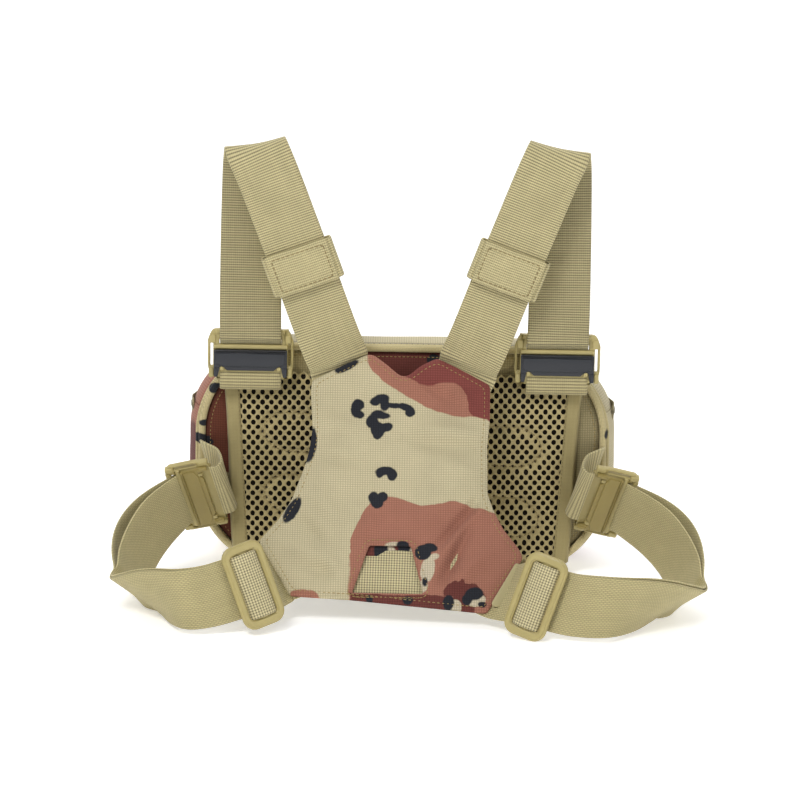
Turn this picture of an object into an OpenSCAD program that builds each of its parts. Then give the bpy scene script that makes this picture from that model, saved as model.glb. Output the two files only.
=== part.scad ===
// Chest pack for binoculars with its four-point harness, standing on its base.
// X runs across the pack, -Y is the wearer's side with the harness, +Z is up.
// The origin is on the floor, under the middle of the pack's base.

/* [Pack] */
// Width of the pack at its widest, behind the rear piping
pack_w = 264; // [250:1:280]
// Height of the pack at its rear wall
pack_h = 146; // [138:1:152]
// Depth of the pack from rear wall to front wall
pack_d = 76; // [60:1:84]
// Corner radius of the pack's outline
pack_r = 60; // [45:1:62]
// Thickness of the padded fabric wall
wall = 3; // [2.4:0.2:4]
// Height at which the lid parts from the tub
lid_z = 104; // [98:1:108]

/* [Back pad] */
// Width of the mesh back pad with its bindings
pad_w = 222; // [200:1:224]
// Height of the mesh back pad
pad_h = 116; // [100:1:118]
// Width of the side bindings
binding_w = 9; // [6:1:12]

/* [Webbing] */
// Width of the harness webbing
web_w = 38; // [37:0.5:39]
// Thickness of one layer of webbing
web_t = 1.5; // [1.2:0.1:1.6]

/* [Buckles] */
// Length of the hook plate across the webbing
plate_l = 45.5; // [44:0.5:46]
// Height of the hook plate along the webbing
plate_h = 17.5; // [16:0.5:18]
// Length of the buckle frame across the webbing
buckle_l = 53; // [51:0.5:54]

/* [Adjusters] */
// Length of the side adjuster across the webbing
slider_l = 52; // [50:0.5:54]
// Height of the side adjuster along the webbing
slider_h = 27; // [25:0.5:28]

/* [Front] */
// Width of the front pocket
pocket_w = 176; // [150:1:184]
// Height of the front pocket
pocket_h = 84; // [70:1:88]

/* [Hidden] */
$fn = 32;
gap = 0.3;                     // clearance between neighbouring pieces
rear_y = -pack_d / 2;          // outer face of the rear wall
front_y = pack_d / 2;
rear_w = pack_w - 10;          // the outline is narrower at the rear seam and at the front
front_w = pack_w - 28;
front_h = pack_h - 20;
belly_y = -14;                 // where the sides are widest
panel_y = rear_y - 2;          // outer face of the rear panel
pad_z = 12;                    // lowest point of the back pad
binding_z = 24;                // lowest point of its side bindings
foam_t = 4;
mesh_t = 3;
mesh_y = panel_y - gap - foam_t - mesh_t;
loop_x = 95;                   // middle of the top buckles
top_z = 147;                   // strap-side edge of the top hook plates
top_y = -57;                   // front face of the top buckle frames
frame_t = 3.5;
plate_t = 2.2;
keeper_w = 45;
keeper_h = 26;

// Points of the left shoulder strap's two edges, outer first, from buckle over the top to yoke
shoulder_edges = [
    [[-114, -58, 151.5], [-76, -58, 151.5]],
    [[-114, -59, 200], [-76, -59, 200]],
    [[-113, -60, 258], [-75, -60, 261]],
    [[-112, -63, 270], [-74.5, -63, 276]],
    [[-111, -69, 276], [-74, -69, 283]],
    [[-108, -75, 271], [-72, -75, 281]],
    [[-101.5, -77, 254], [-65.5, -77, 267]],
    [[-90.5, -74.8, 223.5], [-54.5, -74.8, 236.5]],
    [[-79.5, -72.5, 193], [-43.5, -72.5, 206]],
    [[-68.5, -70.2, 162.5], [-32.5, -70.2, 175.5]],
    [[-63, -69.1, 147.2], [-27, -69.1, 160.3]],
    [[-57.8, -67.4, 131.7], [-21.8, -57.6, 145.7]]];

// Points of a side strap's two edges, upper first, from the buckle round to the yoke. Both are
// given on the left; the right strap is bent a little wider and meets the yoke further in.
side_edges_left = [
    [[-140.5, -68, 68], [-131, -53, 34.5]],
    [[-167, -85, 37], [-137, -71, 19]],
    [[-179, -98, 19], [-147, -86, 4.5]],
    [[-178, -117, 9], [-145, -99, 4]],
    [[-170, -137, 11], [-143, -111, 4]],
    [[-157, -157, 20], [-141, -128, 4.5]],
    [[-145, -171, 33], [-138, -149, 4.5]],
    [[-133, -178, 39.8], [-128, -177, 3.5]],
    [[-122.2, -173, 39.2], [-107.8, -179, 4.8]],
    [[-106.7, -166, 41.2], [-92.3, -172, 6.8]],
    [[-91.2, -159, 43.2], [-76.8, -165, 8.8]],
    [[-86.5, -131.5, 43], [-68.5, -153.7, 13]]];
side_edges_right = [
    [[-140.5, -68, 68], [-131, -53, 34.5]],
    [[-170, -86, 37], [-140, -72, 19]],
    [[-184, -99, 19], [-152, -87, 4.5]],
    [[-184, -117, 9], [-151, -99, 4]],
    [[-175, -138, 11], [-148, -112, 4]],
    [[-161, -158, 20], [-145, -129, 4.5]],
    [[-147, -172, 33], [-140, -150, 4.5]],
    [[-131, -179, 39.8], [-126, -178, 3.5]],
    [[-113.5, -173, 38.2], [-100.5, -179, 3.8]],
    [[-97.5, -167, 40.2], [-84.5, -173, 5.8]],
    [[-81.5, -161, 42.2], [-68.5, -167, 7.8]],
    [[-71.5, -133.6, 36.2], [-53, -156.6, 6.2]]];

// Points of the left side tab's two edges, upper first, from the pack's seam to the buckle
tab_edges = [
    [[-123, -41.5, 80], [-121, -41.5, 43]],
    [[-120.5, -47, 81.5], [-118.5, -46.5, 44.5]],
    [[-114, -54, 82.5], [-107.5, -51.5, 45]],
    [[-112, -63, 80.5], [-102, -57.5, 43.5]],
    [[-118.3, -71.5, 77], [-107.8, -55.5, 40.5]]];

// Outline of the yoke panel: distance across, and distance down from its neckline
yoke_outline = [
    [-56.5, 10], [-22, -8], [-18, -7], [-9.5, 0], [-3, 5.5], [0, 6.5], [3.5, 5.5], [10.5, -0.5],
    [20.5, -6], [53.5, 11], [53.5, 33], [52, 52], [52.5, 84], [56.5, 96], [61.5, 108], [68, 119],
    [69.5, 124], [51, 162.5], [-29, 156.5], [-66.5, 154.5], [-84.5, 117.5], [-71.5, 104], [-65, 90],
    [-58.5, 67], [-56.5, 56], [-55.5, 42], [-57, 16]];
yoke_window = [[-19.5, 119.5], [6.5, 119.5], [14.5, 152], [-29.5, 152]];
yoke_tag_outline = [[58, 133], [64, 133], [55.5, 152], [49.5, 152]];
yoke_top = [0, -62, 137];
yoke_up = [0, 0.597, 0.802];
yoke_t = 1.2;
yoke_foam_t = 2;
bridge_y0 = 121.5;             // upper edge of the bridge, down from the neckline
bridge_h = 30.5;

// Local axes of each placed piece: x towards the loop, y along its length, z outwards
buckle_up = [-0.25, -0.40, 0.88];
side_origin = [-132.5, -61, 52];
side_x = [0.968, -0.085, 0.237];

function unit(v) = v / norm(v);
function blend4(a, b, c, d, t) =
    0.5 * (2 * b + (c - a) * t + (2 * a - 5 * b + 4 * c - d) * t * t
        + (3 * b - a - 3 * c + d) * t * t * t);
// Smooth curve through the points p, with n steps between neighbours
function smooth(p, n) = concat(
    [for (i = [0 : len(p) - 2], k = [0 : n - 1])
        blend4(p[max(i - 1, 0)], p[i], p[i + 1], p[min(i + 2, len(p) - 1)], k / n)],
    [p[len(p) - 1]]);
function middles(edges) = [for (e = edges) (e[0] + e[1]) / 2];
function spans(edges) = [for (e = edges) e[1] - e[0]];

// A flat band of the given width and thickness, whose edges follow a list of point pairs
module ribbon(edges, width, thick, steps = 3) {
    mid = smooth(middles(edges), steps);
    span = smooth(spans(edges), steps);
    last = len(mid) - 1;
    points = [for (i = [0 : last])
        let (
            along = unit(mid[min(i + 1, last)] - mid[max(i - 1, 0)]),
            across = unit(span[i]) * width / 2,
            out = unit(cross(along, across)) * thick / 2)
        each [mid[i] - across - out, mid[i] + across - out,
            mid[i] + across + out, mid[i] - across + out]];
    sides = [for (i = [0 : last - 1], j = [0 : 3])
        let (a = 4 * i + j, b = 4 * i + (j + 1) % 4)
        each [[a, a + 4, b + 4], [a, b + 4, b]]];
    ends = [[0, 1, 2], [0, 2, 3],
        [4 * last + 2, 4 * last + 1, 4 * last], [4 * last + 3, 4 * last + 2, 4 * last]];
    polyhedron(points = points, faces = concat(sides, ends), convexity = 6);
}

// Places children at o with local x and y along the given directions
module placed(o, x, y) {
    ux = unit(x);
    uz = unit(cross(ux, y));
    uy = cross(uz, ux);
    multmatrix([[ux[0], uy[0], uz[0], o[0]], [ux[1], uy[1], uz[1], o[1]],
        [ux[2], uy[2], uz[2], o[2]], [0, 0, 0, 1]]) children();
}

module right_side() mirror([1, 0, 0]) children();

// Rounded rectangle standing on the x axis
module rounded(w, h, r) {
    translate([-w / 2 + r, 0]) square([w - 2 * r, h]);
    translate([-w / 2, r]) square([w, h - 2 * r]);
    for (x = [-1, 1], y = [r, h - r]) translate([x * (w / 2 - r), y]) circle(r, $fn = 64);
}

// A rounded plate in the XZ plane, from y to y + t, lifted by z
module upright(w, h, r, y, t, z = 0)
    translate([0, y + t, z]) rotate([90, 0, 0]) linear_extrude(t) rounded(w, h, r);

module body_hull(inset) {
    hull() {
        upright(rear_w - 2 * inset, pack_h - 2 * inset, pack_r - 3 - inset, rear_y + inset, 1, inset);
        upright(pack_w - 2 * inset, pack_h - 2 * inset, pack_r - inset, belly_y, 1, inset);
        upright(front_w - 2 * inset, front_h - 2 * inset, pack_r - 8 - inset, front_y - 1 - inset, 1,
            inset);
    }
}

// The space that belongs to the lid, grown by g
module lid_space(g)
    translate([-200, rear_y + wall + 3.5 - g, lid_z - g]) cube([400, 200, 100]);

module main_shell() color("darkkhaki") difference() {
    body_hull(0);
    body_hull(wall);
    lid_space(gap);
}

module lining() color("dimgray") difference() {
    body_hull(wall + gap);
    body_hull(wall + gap + 0.8);
    lid_space(gap + 1);
}

module rear_panel() color("sienna")
    upright(rear_w - 7, pack_h - 8, pack_r - 7.5, panel_y, 1.7, 5.6);

module frame_sheet() color("white")
    upright(rear_w - 30, pack_h - 30, pack_r - 20, rear_y + wall + gap + 1.1, 1.2, 15);

module piping_ring(w, h, r, y, z) color("tan") difference() {
    upright(w + 4, h + 2, r + 1, y, 5, z);
    upright(w - 6, h - 7, r - 4, y - 1, 7, z + 4.5);
}

module rear_piping() piping_ring(rear_w, pack_h, pack_r - 3, rear_y - 5.2, 0.6);

module front_ring() piping_ring(front_w - 8, front_h - 6, pack_r - 11, front_y + gap, 1);

module front_piping() difference() {
    front_ring();
    lid_space(gap);
}

// The part of the front piping that lifts with the lid
module lid_piping() intersection() {
    front_ring();
    lid_space(-gap);
}

module back_foam() color("gray")
    upright(pad_w - 2 * binding_w - 1, pad_h - 4, 20, mesh_y + mesh_t, foam_t, pad_z + 2);

module back_mesh() color("tan")
    upright(pad_w - 2 * binding_w - 1, pad_h, 8, mesh_y, mesh_t - gap, pad_z);

module mesh_binding() color("khaki")
    translate([-pad_w / 2, mesh_y + 0.5, binding_z])
        cube([binding_w, mesh_t + foam_t - 1, pad_z + pad_h - 2 - binding_z]);

// Folded webbing sewn to the pack, which the top hook plates catch
module buckle_loop() color("khaki") {
    translate([-loop_x - web_w / 2, top_y + frame_t + 0.3, 121]) cube([web_w, 1.5, 10]);
    translate([-loop_x - web_w / 2, mesh_y - 1.8, 121]) cube([web_w, 1.5, 10]);
    translate([-loop_x - web_w / 2, top_y + frame_t + 1.8, 121])
        cube([web_w, mesh_y - top_y - frame_t - 3.6, 2]);
}

module side_tab() color("khaki") ribbon(tab_edges, web_w, web_t, 4);

module lid_shell() color("darkkhaki") intersection() {
    difference() {
        body_hull(0);
        body_hull(wall);
    }
    lid_space(0);
}

// Fabric hinge along the lid's front edge
module lid_hinge_tape() color("khaki")
    translate([-70, front_y + gap, lid_z - 5.4]) cube([140, 0.8, 5]);

// Toothed closure along the parting line, beside the lid and behind it
module main_zipper() color("dimgray") {
    intersection() {
        difference() {
            body_hull(-1.2);
            body_hull(-0.3);
        }
        translate([-200, rear_y + 4, lid_z - 5.5]) cube([400, pack_d - 6, 5]);
    }
    intersection() {
        difference() {
            body_hull(-1.2);
            body_hull(-0.3);
        }
        translate([-200, rear_y + 3, lid_z - 0.6]) cube([400, 3, 100]);
    }
}

// Zip slider parked on the right, by the pack's front corner
zip_at = [116.8, 24, lid_z - 2.5];
zip_axis = [-0.365, 0.931, 0];
module zip_place() placed(zip_at, zip_axis, [-0.24, -0.1, 0.965]) children();

module zip_slider() color("olive") zip_place() translate([-5, -4, 1.9]) cube([10, 8, 3]);

module zip_pull() color("olive") zip_place() difference() {
    translate([-4, -24, 5.4]) cube([8, 23, 1.8]);
    translate([-2, -22, 5]) cube([4, 8, 3]);
}

module front_pocket() color("sienna") difference() {
    upright(pocket_w, pocket_h, 18, front_y + gap, 10, 14);
    upright(pocket_w - 5, pocket_h - 5, 15.5, front_y, 7.7, 16.5);
}

// What lies on the pocket's face, which is 10 mm in front of the pack
face_y = front_y + gap + 10;

module pocket_zipper() color("dimgray") translate([-70, face_y + gap, 84]) cube([140, 1.2, 4]);

module pocket_slider() color("olive") translate([56, face_y + 1.8, 82.5]) cube([8, 2.4, 7]);

module pocket_pull() color("olive") difference() {
    translate([57, face_y + 4.6, 62]) cube([6, 1.6, 22]);
    translate([58.5, face_y + 4, 63.5]) cube([3, 3, 7]);
}

// Two rows of webbing across the pocket
module front_webbing() color("khaki") for (z = [26, 52])
    translate([-pocket_w / 2 + 12, face_y + gap, z]) cube([pocket_w - 24, 1.4, 25]);

module yoke_layer(depth, thick, inset = 0)
    placed(yoke_top, [1, 0, 0], yoke_up) translate([0, 0, -depth - thick])
        linear_extrude(thick) mirror([0, 1]) difference() {
            if (inset > 0) offset(delta = -inset) polygon(yoke_outline);
            else polygon(yoke_outline);
            if (inset > 0) offset(delta = inset) polygon(yoke_window);
            else polygon(yoke_window);
        }

module yoke_panel() color("wheat") yoke_layer(0, yoke_t);

module yoke_foam() color("gray") yoke_layer(yoke_t + 0.1, yoke_foam_t - 0.2, 7);

module yoke_lining() color("sienna") yoke_layer(yoke_t + yoke_foam_t, 0.8);

// Webbing that joins the two sides across the window
module yoke_bridge() color("khaki") placed(yoke_top, [1, 0, 0], yoke_up)
    translate([-48, -bridge_y0 - bridge_h, -yoke_t - yoke_foam_t - 0.8 - gap - web_t])
        cube([84, bridge_h, web_t]);

module yoke_tag() color("khaki") placed(yoke_top, [1, 0, 0], yoke_up)
    translate([0, 0, gap]) linear_extrude(0.9) mirror([0, 1]) polygon(yoke_tag_outline);

module shoulder_strap() color("khaki") ribbon(shoulder_edges, web_w, web_t, 4);

// Local axes of the strap keepers, which lie on the straight front run of the strap
keeper_up = unit([-22, -4.5, 61]);
keeper_at = [-61.5, -72.5, 199.5];
module keeper_place() placed(keeper_at, [36, 0, 13], keeper_up) children();

module keeper() color("khaki") keeper_place() difference() {
    translate([-keeper_w / 2, -keeper_h / 2, -2.4]) cube([keeper_w, keeper_h, 4.4]);
    translate([-web_w / 2 - 0.8, -keeper_h, -1.3]) cube([web_w + 1.6, 2 * keeper_h, 2.6]);
}

module keeper_patch() color("khaki") keeper_place()
    translate([-web_w / 2, -keeper_h / 2 - 0.5, 2.2]) cube([web_w, keeper_h + 1, 1.3]);

// Buckle frame: strap window at x < 0, hook window under the plate
module buckle_shape() difference() {
    translate([-9.5, 0, -frame_t]) linear_extrude(frame_t) translate([0, -buckle_l / 2]) {
        translate([0, 5]) square([24, buckle_l - 10]);
        translate([5, 0]) square([14, buckle_l]);
        for (x = [5, 19], y = [5, buckle_l - 5]) translate([x, y]) circle(5);
    }
    translate([-6.5, -web_w / 2 - 0.6, -10]) cube([4.5, web_w + 1.2, 20]);
    translate([1, -web_w / 2 - 0.6, -10]) cube([10.5, web_w + 1.2, 20]);
    for (y = [-1, 1]) translate([-1, y * (buckle_l / 2 - 2.8) - 0.8, -10]) cube([11, 1.6, 20]);
}

// Hook plate with a prong at each end of its loop side
module plate_shape() translate([0, 0, 0.4]) linear_extrude(plate_t) {
    difference() {
        translate([0, -plate_l / 2]) square([plate_h, plate_l]);
        for (y = [-1, 1]) translate([plate_h - 3, y * (plate_l / 2 - 5) - 1.2]) square([4, 2.4]);
    }
    for (y = [-1, 1]) translate([plate_h - 1, y * (plate_l / 2 - 1.6) - 1.6]) square([4, 3.2]);
}

module top_place() placed([-loop_x, top_y, top_z], [0, 0, -1], [1, 0, 0]) children();

module side_place() placed(side_origin, side_x, buckle_up) children();

module buckle_frame() color("olive") top_place() buckle_shape();

module hook_plate() color("dimgray") top_place() plate_shape();

module side_frame() color("olive") side_place() buckle_shape();

module side_plate() color("olive") side_place() plate_shape();

module side_strap(edges) color("khaki") ribbon(edges, web_w, 2 * web_t + 0.2, 3);

// Local axes of the side adjusters, which ride on the front of the side straps
adjuster_lift = web_t + 2.3;
adjuster_left = [[-93.5, -166.3, 24.8], [15.5, 7, 2], [-14.4, 6, 34.4]];
adjuster_right = [[-83.5, -167.2, 24], [16, 6, 2], [-13, 6, 34.4]];
module slider_place(at) placed(at[0], at[1], at[2]) translate([0, 0, adjuster_lift]) children();

module side_slider(at) color("olive") slider_place(at) difference() {
    linear_extrude(4) difference() {
        translate([-slider_h / 2, -slider_l / 2]) {
            translate([0, 8]) square([slider_h, slider_l - 16]);
            translate([8, 0]) square([slider_h - 16, slider_l]);
            for (x = [8, slider_h - 8], y = [8, slider_l - 8]) translate([x, y]) circle(8);
        }
        for (s = [-1, 1]) translate([s * 5.3 - 3.3, -web_w / 2 - 0.5]) square([6.6, web_w + 1]);
    }
}

// Turn of webbing over the adjuster's middle bar
module slider_wrap(at) color("khaki") slider_place(at) {
    translate([-8.2, -web_w / 2, 4.2]) cube([16.4, web_w, 1.3]);
    for (s = [-1, 1]) translate([s * 7.4 - 0.8, -web_w / 2, 0.4]) cube([1.6, web_w, 3.9]);
}

main_shell();
lining();
rear_panel();
rear_piping();
front_piping();
frame_sheet();
back_foam();
back_mesh();
mesh_binding();  // mesh_binding_left
right_side() mesh_binding();  // mesh_binding_right
buckle_loop();  // buckle_loop_left
right_side() buckle_loop();  // buckle_loop_right
side_tab();  // side_tab_left
right_side() side_tab();  // side_tab_right
lid_shell();
lid_piping();
lid_hinge_tape();
main_zipper();
zip_slider();
zip_pull();
front_pocket();
pocket_zipper();
pocket_slider();
pocket_pull();
front_webbing();
yoke_panel();
yoke_foam();
yoke_lining();
yoke_bridge();
yoke_tag();
shoulder_strap();  // shoulder_strap_left
right_side() shoulder_strap();  // shoulder_strap_right
keeper();  // keeper_left
right_side() keeper();  // keeper_right
keeper_patch();  // keeper_patch_left
right_side() keeper_patch();  // keeper_patch_right
buckle_frame();  // buckle_frame_left
right_side() buckle_frame();  // buckle_frame_right
hook_plate();  // hook_plate_left
right_side() hook_plate();  // hook_plate_right
side_strap(side_edges_left);  // side_strap_left
right_side() side_strap(side_edges_right);  // side_strap_right
side_slider(adjuster_left);  // side_slider_left
right_side() side_slider(adjuster_right);  // side_slider_right
slider_wrap(adjuster_left);  // slider_wrap_left
right_side() slider_wrap(adjuster_right);  // slider_wrap_right
side_frame();  // side_frame_left
right_side() side_frame();  // side_frame_right
side_plate();  // side_plate_left
right_side() side_plate();  // side_plate_right
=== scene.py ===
"""Looks of the binocular harness pack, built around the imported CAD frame. Lengths in metres."""
import math

import bmesh
import bpy
import numpy as np
from mathutils import Matrix, Vector
from mathutils.geometry import delaunay_2d_cdt


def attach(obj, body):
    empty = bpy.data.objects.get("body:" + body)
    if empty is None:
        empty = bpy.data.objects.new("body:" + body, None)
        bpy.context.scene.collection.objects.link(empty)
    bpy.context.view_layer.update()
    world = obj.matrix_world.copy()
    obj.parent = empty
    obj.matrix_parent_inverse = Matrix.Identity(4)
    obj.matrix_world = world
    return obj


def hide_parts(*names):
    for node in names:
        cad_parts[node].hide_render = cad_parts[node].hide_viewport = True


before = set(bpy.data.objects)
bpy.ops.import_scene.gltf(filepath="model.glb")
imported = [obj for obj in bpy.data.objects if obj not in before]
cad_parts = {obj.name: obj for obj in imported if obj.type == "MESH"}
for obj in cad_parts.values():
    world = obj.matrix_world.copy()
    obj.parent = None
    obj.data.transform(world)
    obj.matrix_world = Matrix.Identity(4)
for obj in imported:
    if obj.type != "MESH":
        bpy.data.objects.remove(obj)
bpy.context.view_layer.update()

MM = 0.001
SIDES = {"left": 1.0, "right": -1.0}
rng = np.random.default_rng(7)


# ---------------------------------------------------------------- camera and stage

TARGET = Vector((-0.002, -0.060, 0.1168))
CAMERA_ELEVATION = math.radians(14.5)
CAMERA_DISTANCE = 2.6
CAMERA_ROLL = math.radians(1.0)
MM_PER_PIXEL = 0.62
SENSOR = 36.0


def make_camera():
    data = bpy.data.cameras.new("camera")
    data.sensor_width = SENSOR
    data.lens = SENSOR * CAMERA_DISTANCE / (800 * MM_PER_PIXEL * MM)
    data.clip_end = 20
    camera = bpy.data.objects.new("camera", data)
    bpy.context.collection.objects.link(camera)
    back = Vector((0, -math.cos(CAMERA_ELEVATION), math.sin(CAMERA_ELEVATION)))
    aim = back.to_track_quat("Z", "Y").to_matrix() @ Matrix.Rotation(CAMERA_ROLL, 3, "Z")
    camera.matrix_world = Matrix.Translation(TARGET + back * CAMERA_DISTANCE) @ aim.to_4x4()
    bpy.context.scene.camera = camera


def area_light(name, place, size, power, spread=math.pi):
    data = bpy.data.lights.new(name, "AREA")
    data.shape = "RECTANGLE"
    data.size, data.size_y = size
    data.energy = power
    data.spread = spread
    light = bpy.data.objects.new(name, data)
    bpy.context.collection.objects.link(light)
    light.location = place
    aim = Vector(place) - Vector((0, 0, 0.10))
    light.rotation_euler = aim.to_track_quat("Z", "Y").to_euler()
    return light


def make_stage():
    mesh = bpy.data.meshes.new("floor")
    reach = 6.0
    mesh.from_pydata([(-reach, -reach, 0), (reach, -reach, 0), (reach, reach, 0), (-reach, reach, 0)],
                     [], [(0, 1, 2, 3)])
    floor = bpy.data.objects.new("floor", mesh)
    bpy.context.collection.objects.link(floor)
    material = bpy.data.materials.new("floor_white")
    material.use_nodes = True
    shader = material.node_tree.nodes["Principled BSDF"]
    shader.inputs["Base Color"].default_value = (0.93, 0.93, 0.93, 1)
    shader.inputs["Roughness"].default_value = 0.7
    shader.inputs["Specular IOR Level"].default_value = 0.15
    mesh.materials.append(material)
    shader.inputs["Emission Color"].default_value = (1, 1, 1, 1)
    shader.inputs["Emission Strength"].default_value = 0.38
    wall_mesh = bpy.data.meshes.new("backdrop")
    corners = [(-reach, 4, -1), (reach, 4, -1), (reach, 4, 5), (-reach, 4, 5)]
    wall_mesh.from_pydata(corners, [], [(0, 1, 2, 3)])
    wall = bpy.data.objects.new("backdrop", wall_mesh)
    bpy.context.collection.objects.link(wall)
    bright = bpy.data.materials.new("backdrop_white")
    bright.use_nodes = True
    shader = bright.node_tree.nodes["Principled BSDF"]
    shader.inputs["Base Color"].default_value = (0.9, 0.9, 0.9, 1)
    shader.inputs["Emission Color"].default_value = (1, 1, 1, 1)
    shader.inputs["Emission Strength"].default_value = 1.0
    wall_mesh.materials.append(bright)
    world = bpy.data.worlds.new("studio")
    world.use_nodes = True
    world.node_tree.nodes["Background"].inputs["Color"].default_value = (1, 1, 1, 1)
    world.node_tree.nodes["Background"].inputs["Strength"].default_value = 0.30
    bpy.context.scene.world = world
    area_light("key", (-0.55, -1.2, 1.45), (0.6, 0.6), 17.0)
    area_light("fill", (1.2, -1.1, 0.75), (0.9, 0.9), 4.5)
    area_light("top", (0.1, 0.5, 1.5), (0.8, 0.6), 8)
    bpy.context.scene.view_settings.view_transform = "Standard"


# ---------------------------------------------------------------- vectors and curves

def unit(v):
    v = np.asarray(v, float)
    return v / np.linalg.norm(v)


def smooth(points, steps):
    """Catmull-Rom curve through the points, with the given steps between neighbours."""
    p = np.asarray(points, float)
    out = []
    for i in range(len(p) - 1):
        a, b, c, d = p[max(i - 1, 0)], p[i], p[i + 1], p[min(i + 2, len(p) - 1)]
        for k in range(steps):
            t = k / steps
            out.append(0.5 * (2 * b + (c - a) * t + (2 * a - 5 * b + 4 * c - d) * t * t
                              + (3 * b - a - 3 * c + d) * t ** 3))
    out.append(p[-1])
    return np.array(out)


def resample(points, pitch, closed=False):
    """Points spaced evenly, about pitch apart, along a polyline."""
    p = np.asarray(points, float)
    if closed:
        p = np.vstack([p, p[:1]])
    run = np.concatenate([[0], np.cumsum(np.linalg.norm(np.diff(p, axis=0), axis=1))])
    count = max(2, int(round(run[-1] / pitch)) + 1)
    at = np.linspace(0, run[-1], count)
    out = np.stack([np.interp(at, run, p[:, k]) for k in range(p.shape[1])], axis=1)
    return out[:-1] if closed else out


def local_axes(origin, x, y):
    """Origin and unit axes, the third one square to the others."""
    ux = unit(x)
    uz = unit(np.cross(ux, y))
    return np.asarray(origin, float), ux, np.cross(uz, ux), uz


def to_world(axes, points):
    o, x, y, z = axes
    p = np.asarray(points, float)
    return o + p[:, :1] * x + p[:, 1:2] * y + p[:, 2:3] * z


# ---------------------------------------------------------------- mesh pieces

def piece(name, verts, faces, material, body, replaces=(), uv=None, flat=False):
    """A mesh object that rides on a body. uv holds one pair of coordinates for each vertex."""
    mesh = bpy.data.meshes.new(name)
    mesh.from_pydata([tuple(v) for v in verts], [], [tuple(int(i) for i in f) for f in faces])
    if uv is not None:
        layer = mesh.uv_layers.new(name="UVMap")
        for loop in mesh.loops:
            layer.data[loop.index].uv = tuple(uv[loop.vertex_index])
    obj = bpy.data.objects.new(name, mesh)
    bpy.context.collection.objects.link(obj)
    return settle(obj, material, body, replaces, flat)


def settle(obj, material, body, replaces=(), flat=False):
    obj.data.materials.clear()
    obj.data.materials.append(material)
    for polygon in obj.data.polygons:
        polygon.use_smooth = not flat
    if body:
        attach(obj, body)
    if replaces:
        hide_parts(*replaces)
    return obj


def mirrored(verts, sign):
    v = np.array(verts, float)
    v[:, 0] *= sign
    return v


def turned(faces, sign):
    return faces if sign > 0 else [tuple(reversed(f)) for f in faces]


def ribbon_mesh(edges, width, thick, steps=8, across=14, lift=0.0, wave=None):
    """A flat band along pairs of edge points (mm). lift moves it along its normal (mm)."""
    pairs = np.array(edges, float)
    mid = smooth(pairs.mean(axis=1), steps)
    span = smooth(pairs[:, 1] - pairs[:, 0], steps)
    along = np.gradient(mid, axis=0)
    along /= np.linalg.norm(along, axis=1)[:, None]
    span /= np.linalg.norm(span, axis=1)[:, None]
    out = np.cross(along, span)
    out /= np.linalg.norm(out, axis=1)[:, None]
    span = np.cross(out, along)
    run = np.concatenate([[0], np.cumsum(np.linalg.norm(np.diff(mid, axis=0), axis=1))])
    u = np.linspace(-0.5, 0.5, across + 1) * (width - thick)
    profile = [(x, thick / 2) for x in u]
    profile += [(width / 2 - thick / 2 + thick / 2 * math.cos(a), thick / 2 * math.sin(a))
                for a in (math.pi / 4, 0, -math.pi / 4)]
    profile += [(x, -thick / 2) for x in u[::-1]]
    profile += [(-width / 2 + thick / 2 - thick / 2 * math.cos(a), thick / 2 * math.sin(a))
                for a in (-math.pi / 4, 0, math.pi / 4)]
    profile = np.array(profile)
    ring = len(profile)
    verts, uv = [], []
    for i in range(len(mid)):
        extra = wave(run[i], profile[:, 0]) if wave else 0.0
        height = profile[:, 1] + lift + extra
        verts.append(mid[i] + profile[:, :1] * span[i] + height[:, None] * out[i])
        uv += [(x * MM, run[i] * MM) for x in profile[:, 0]]
    verts = np.vstack(verts) * MM
    faces = []
    for i in range(len(mid) - 1):
        for j in range(ring):
            k = (j + 1) % ring
            faces.append((i * ring + j, i * ring + k, (i + 1) * ring + k, (i + 1) * ring + j))
    last = (len(mid) - 1) * ring
    faces += [tuple(range(ring))[::-1], tuple(last + j for j in range(ring))]
    return verts, faces, uv


def tube_mesh(path, radius, sides=10, closed=True, flatten=1.0):
    """A tube round a path (mm). flatten scales it along the path's own normal."""
    p = np.asarray(path, float)
    count = len(p)
    ahead = np.roll(p, -1, axis=0) if closed else np.vstack([p[1:], p[-1:]])
    behind = np.roll(p, 1, axis=0) if closed else np.vstack([p[:1], p[:-1]])
    tangent = ahead - behind
    tangent /= np.linalg.norm(tangent, axis=1)[:, None]
    up = np.zeros_like(tangent)
    up[:, 1] = 1.0
    side = np.cross(tangent, up)
    side /= np.maximum(np.linalg.norm(side, axis=1), 1e-6)[:, None]
    up = np.cross(side, tangent)
    angle = np.arange(sides) * 2 * math.pi / sides
    r = np.broadcast_to(np.asarray(radius, float), (count,))
    verts = (p[:, None] + r[:, None, None] * (np.cos(angle)[None, :, None] * side[:, None]
             + flatten * np.sin(angle)[None, :, None] * up[:, None])).reshape(-1, 3) * MM
    run = np.concatenate([[0], np.cumsum(np.linalg.norm(np.diff(p, axis=0), axis=1))])
    uv = [(j / sides * 2 * math.pi * float(r[i]) * MM, run[i] * MM)
          for i in range(count) for j in range(sides)]
    faces = []
    for i in range(count if closed else count - 1):
        n = (i + 1) % count
        for j in range(sides):
            k = (j + 1) % sides
            faces.append((i * sides + j, i * sides + k, n * sides + k, n * sides + j))
    if not closed:
        faces += [tuple(range(sides))[::-1], tuple((count - 1) * sides + j for j in range(sides))]
    return verts, faces, uv


# part of the stitch's length, thickness, height off the cloth
STITCH_RINGS = ((0.04, 0.45, -0.25), (0.25, 1.0, 0.1), (0.55, 1.0, 0.1), (0.78, 0.45, -0.25))


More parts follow.
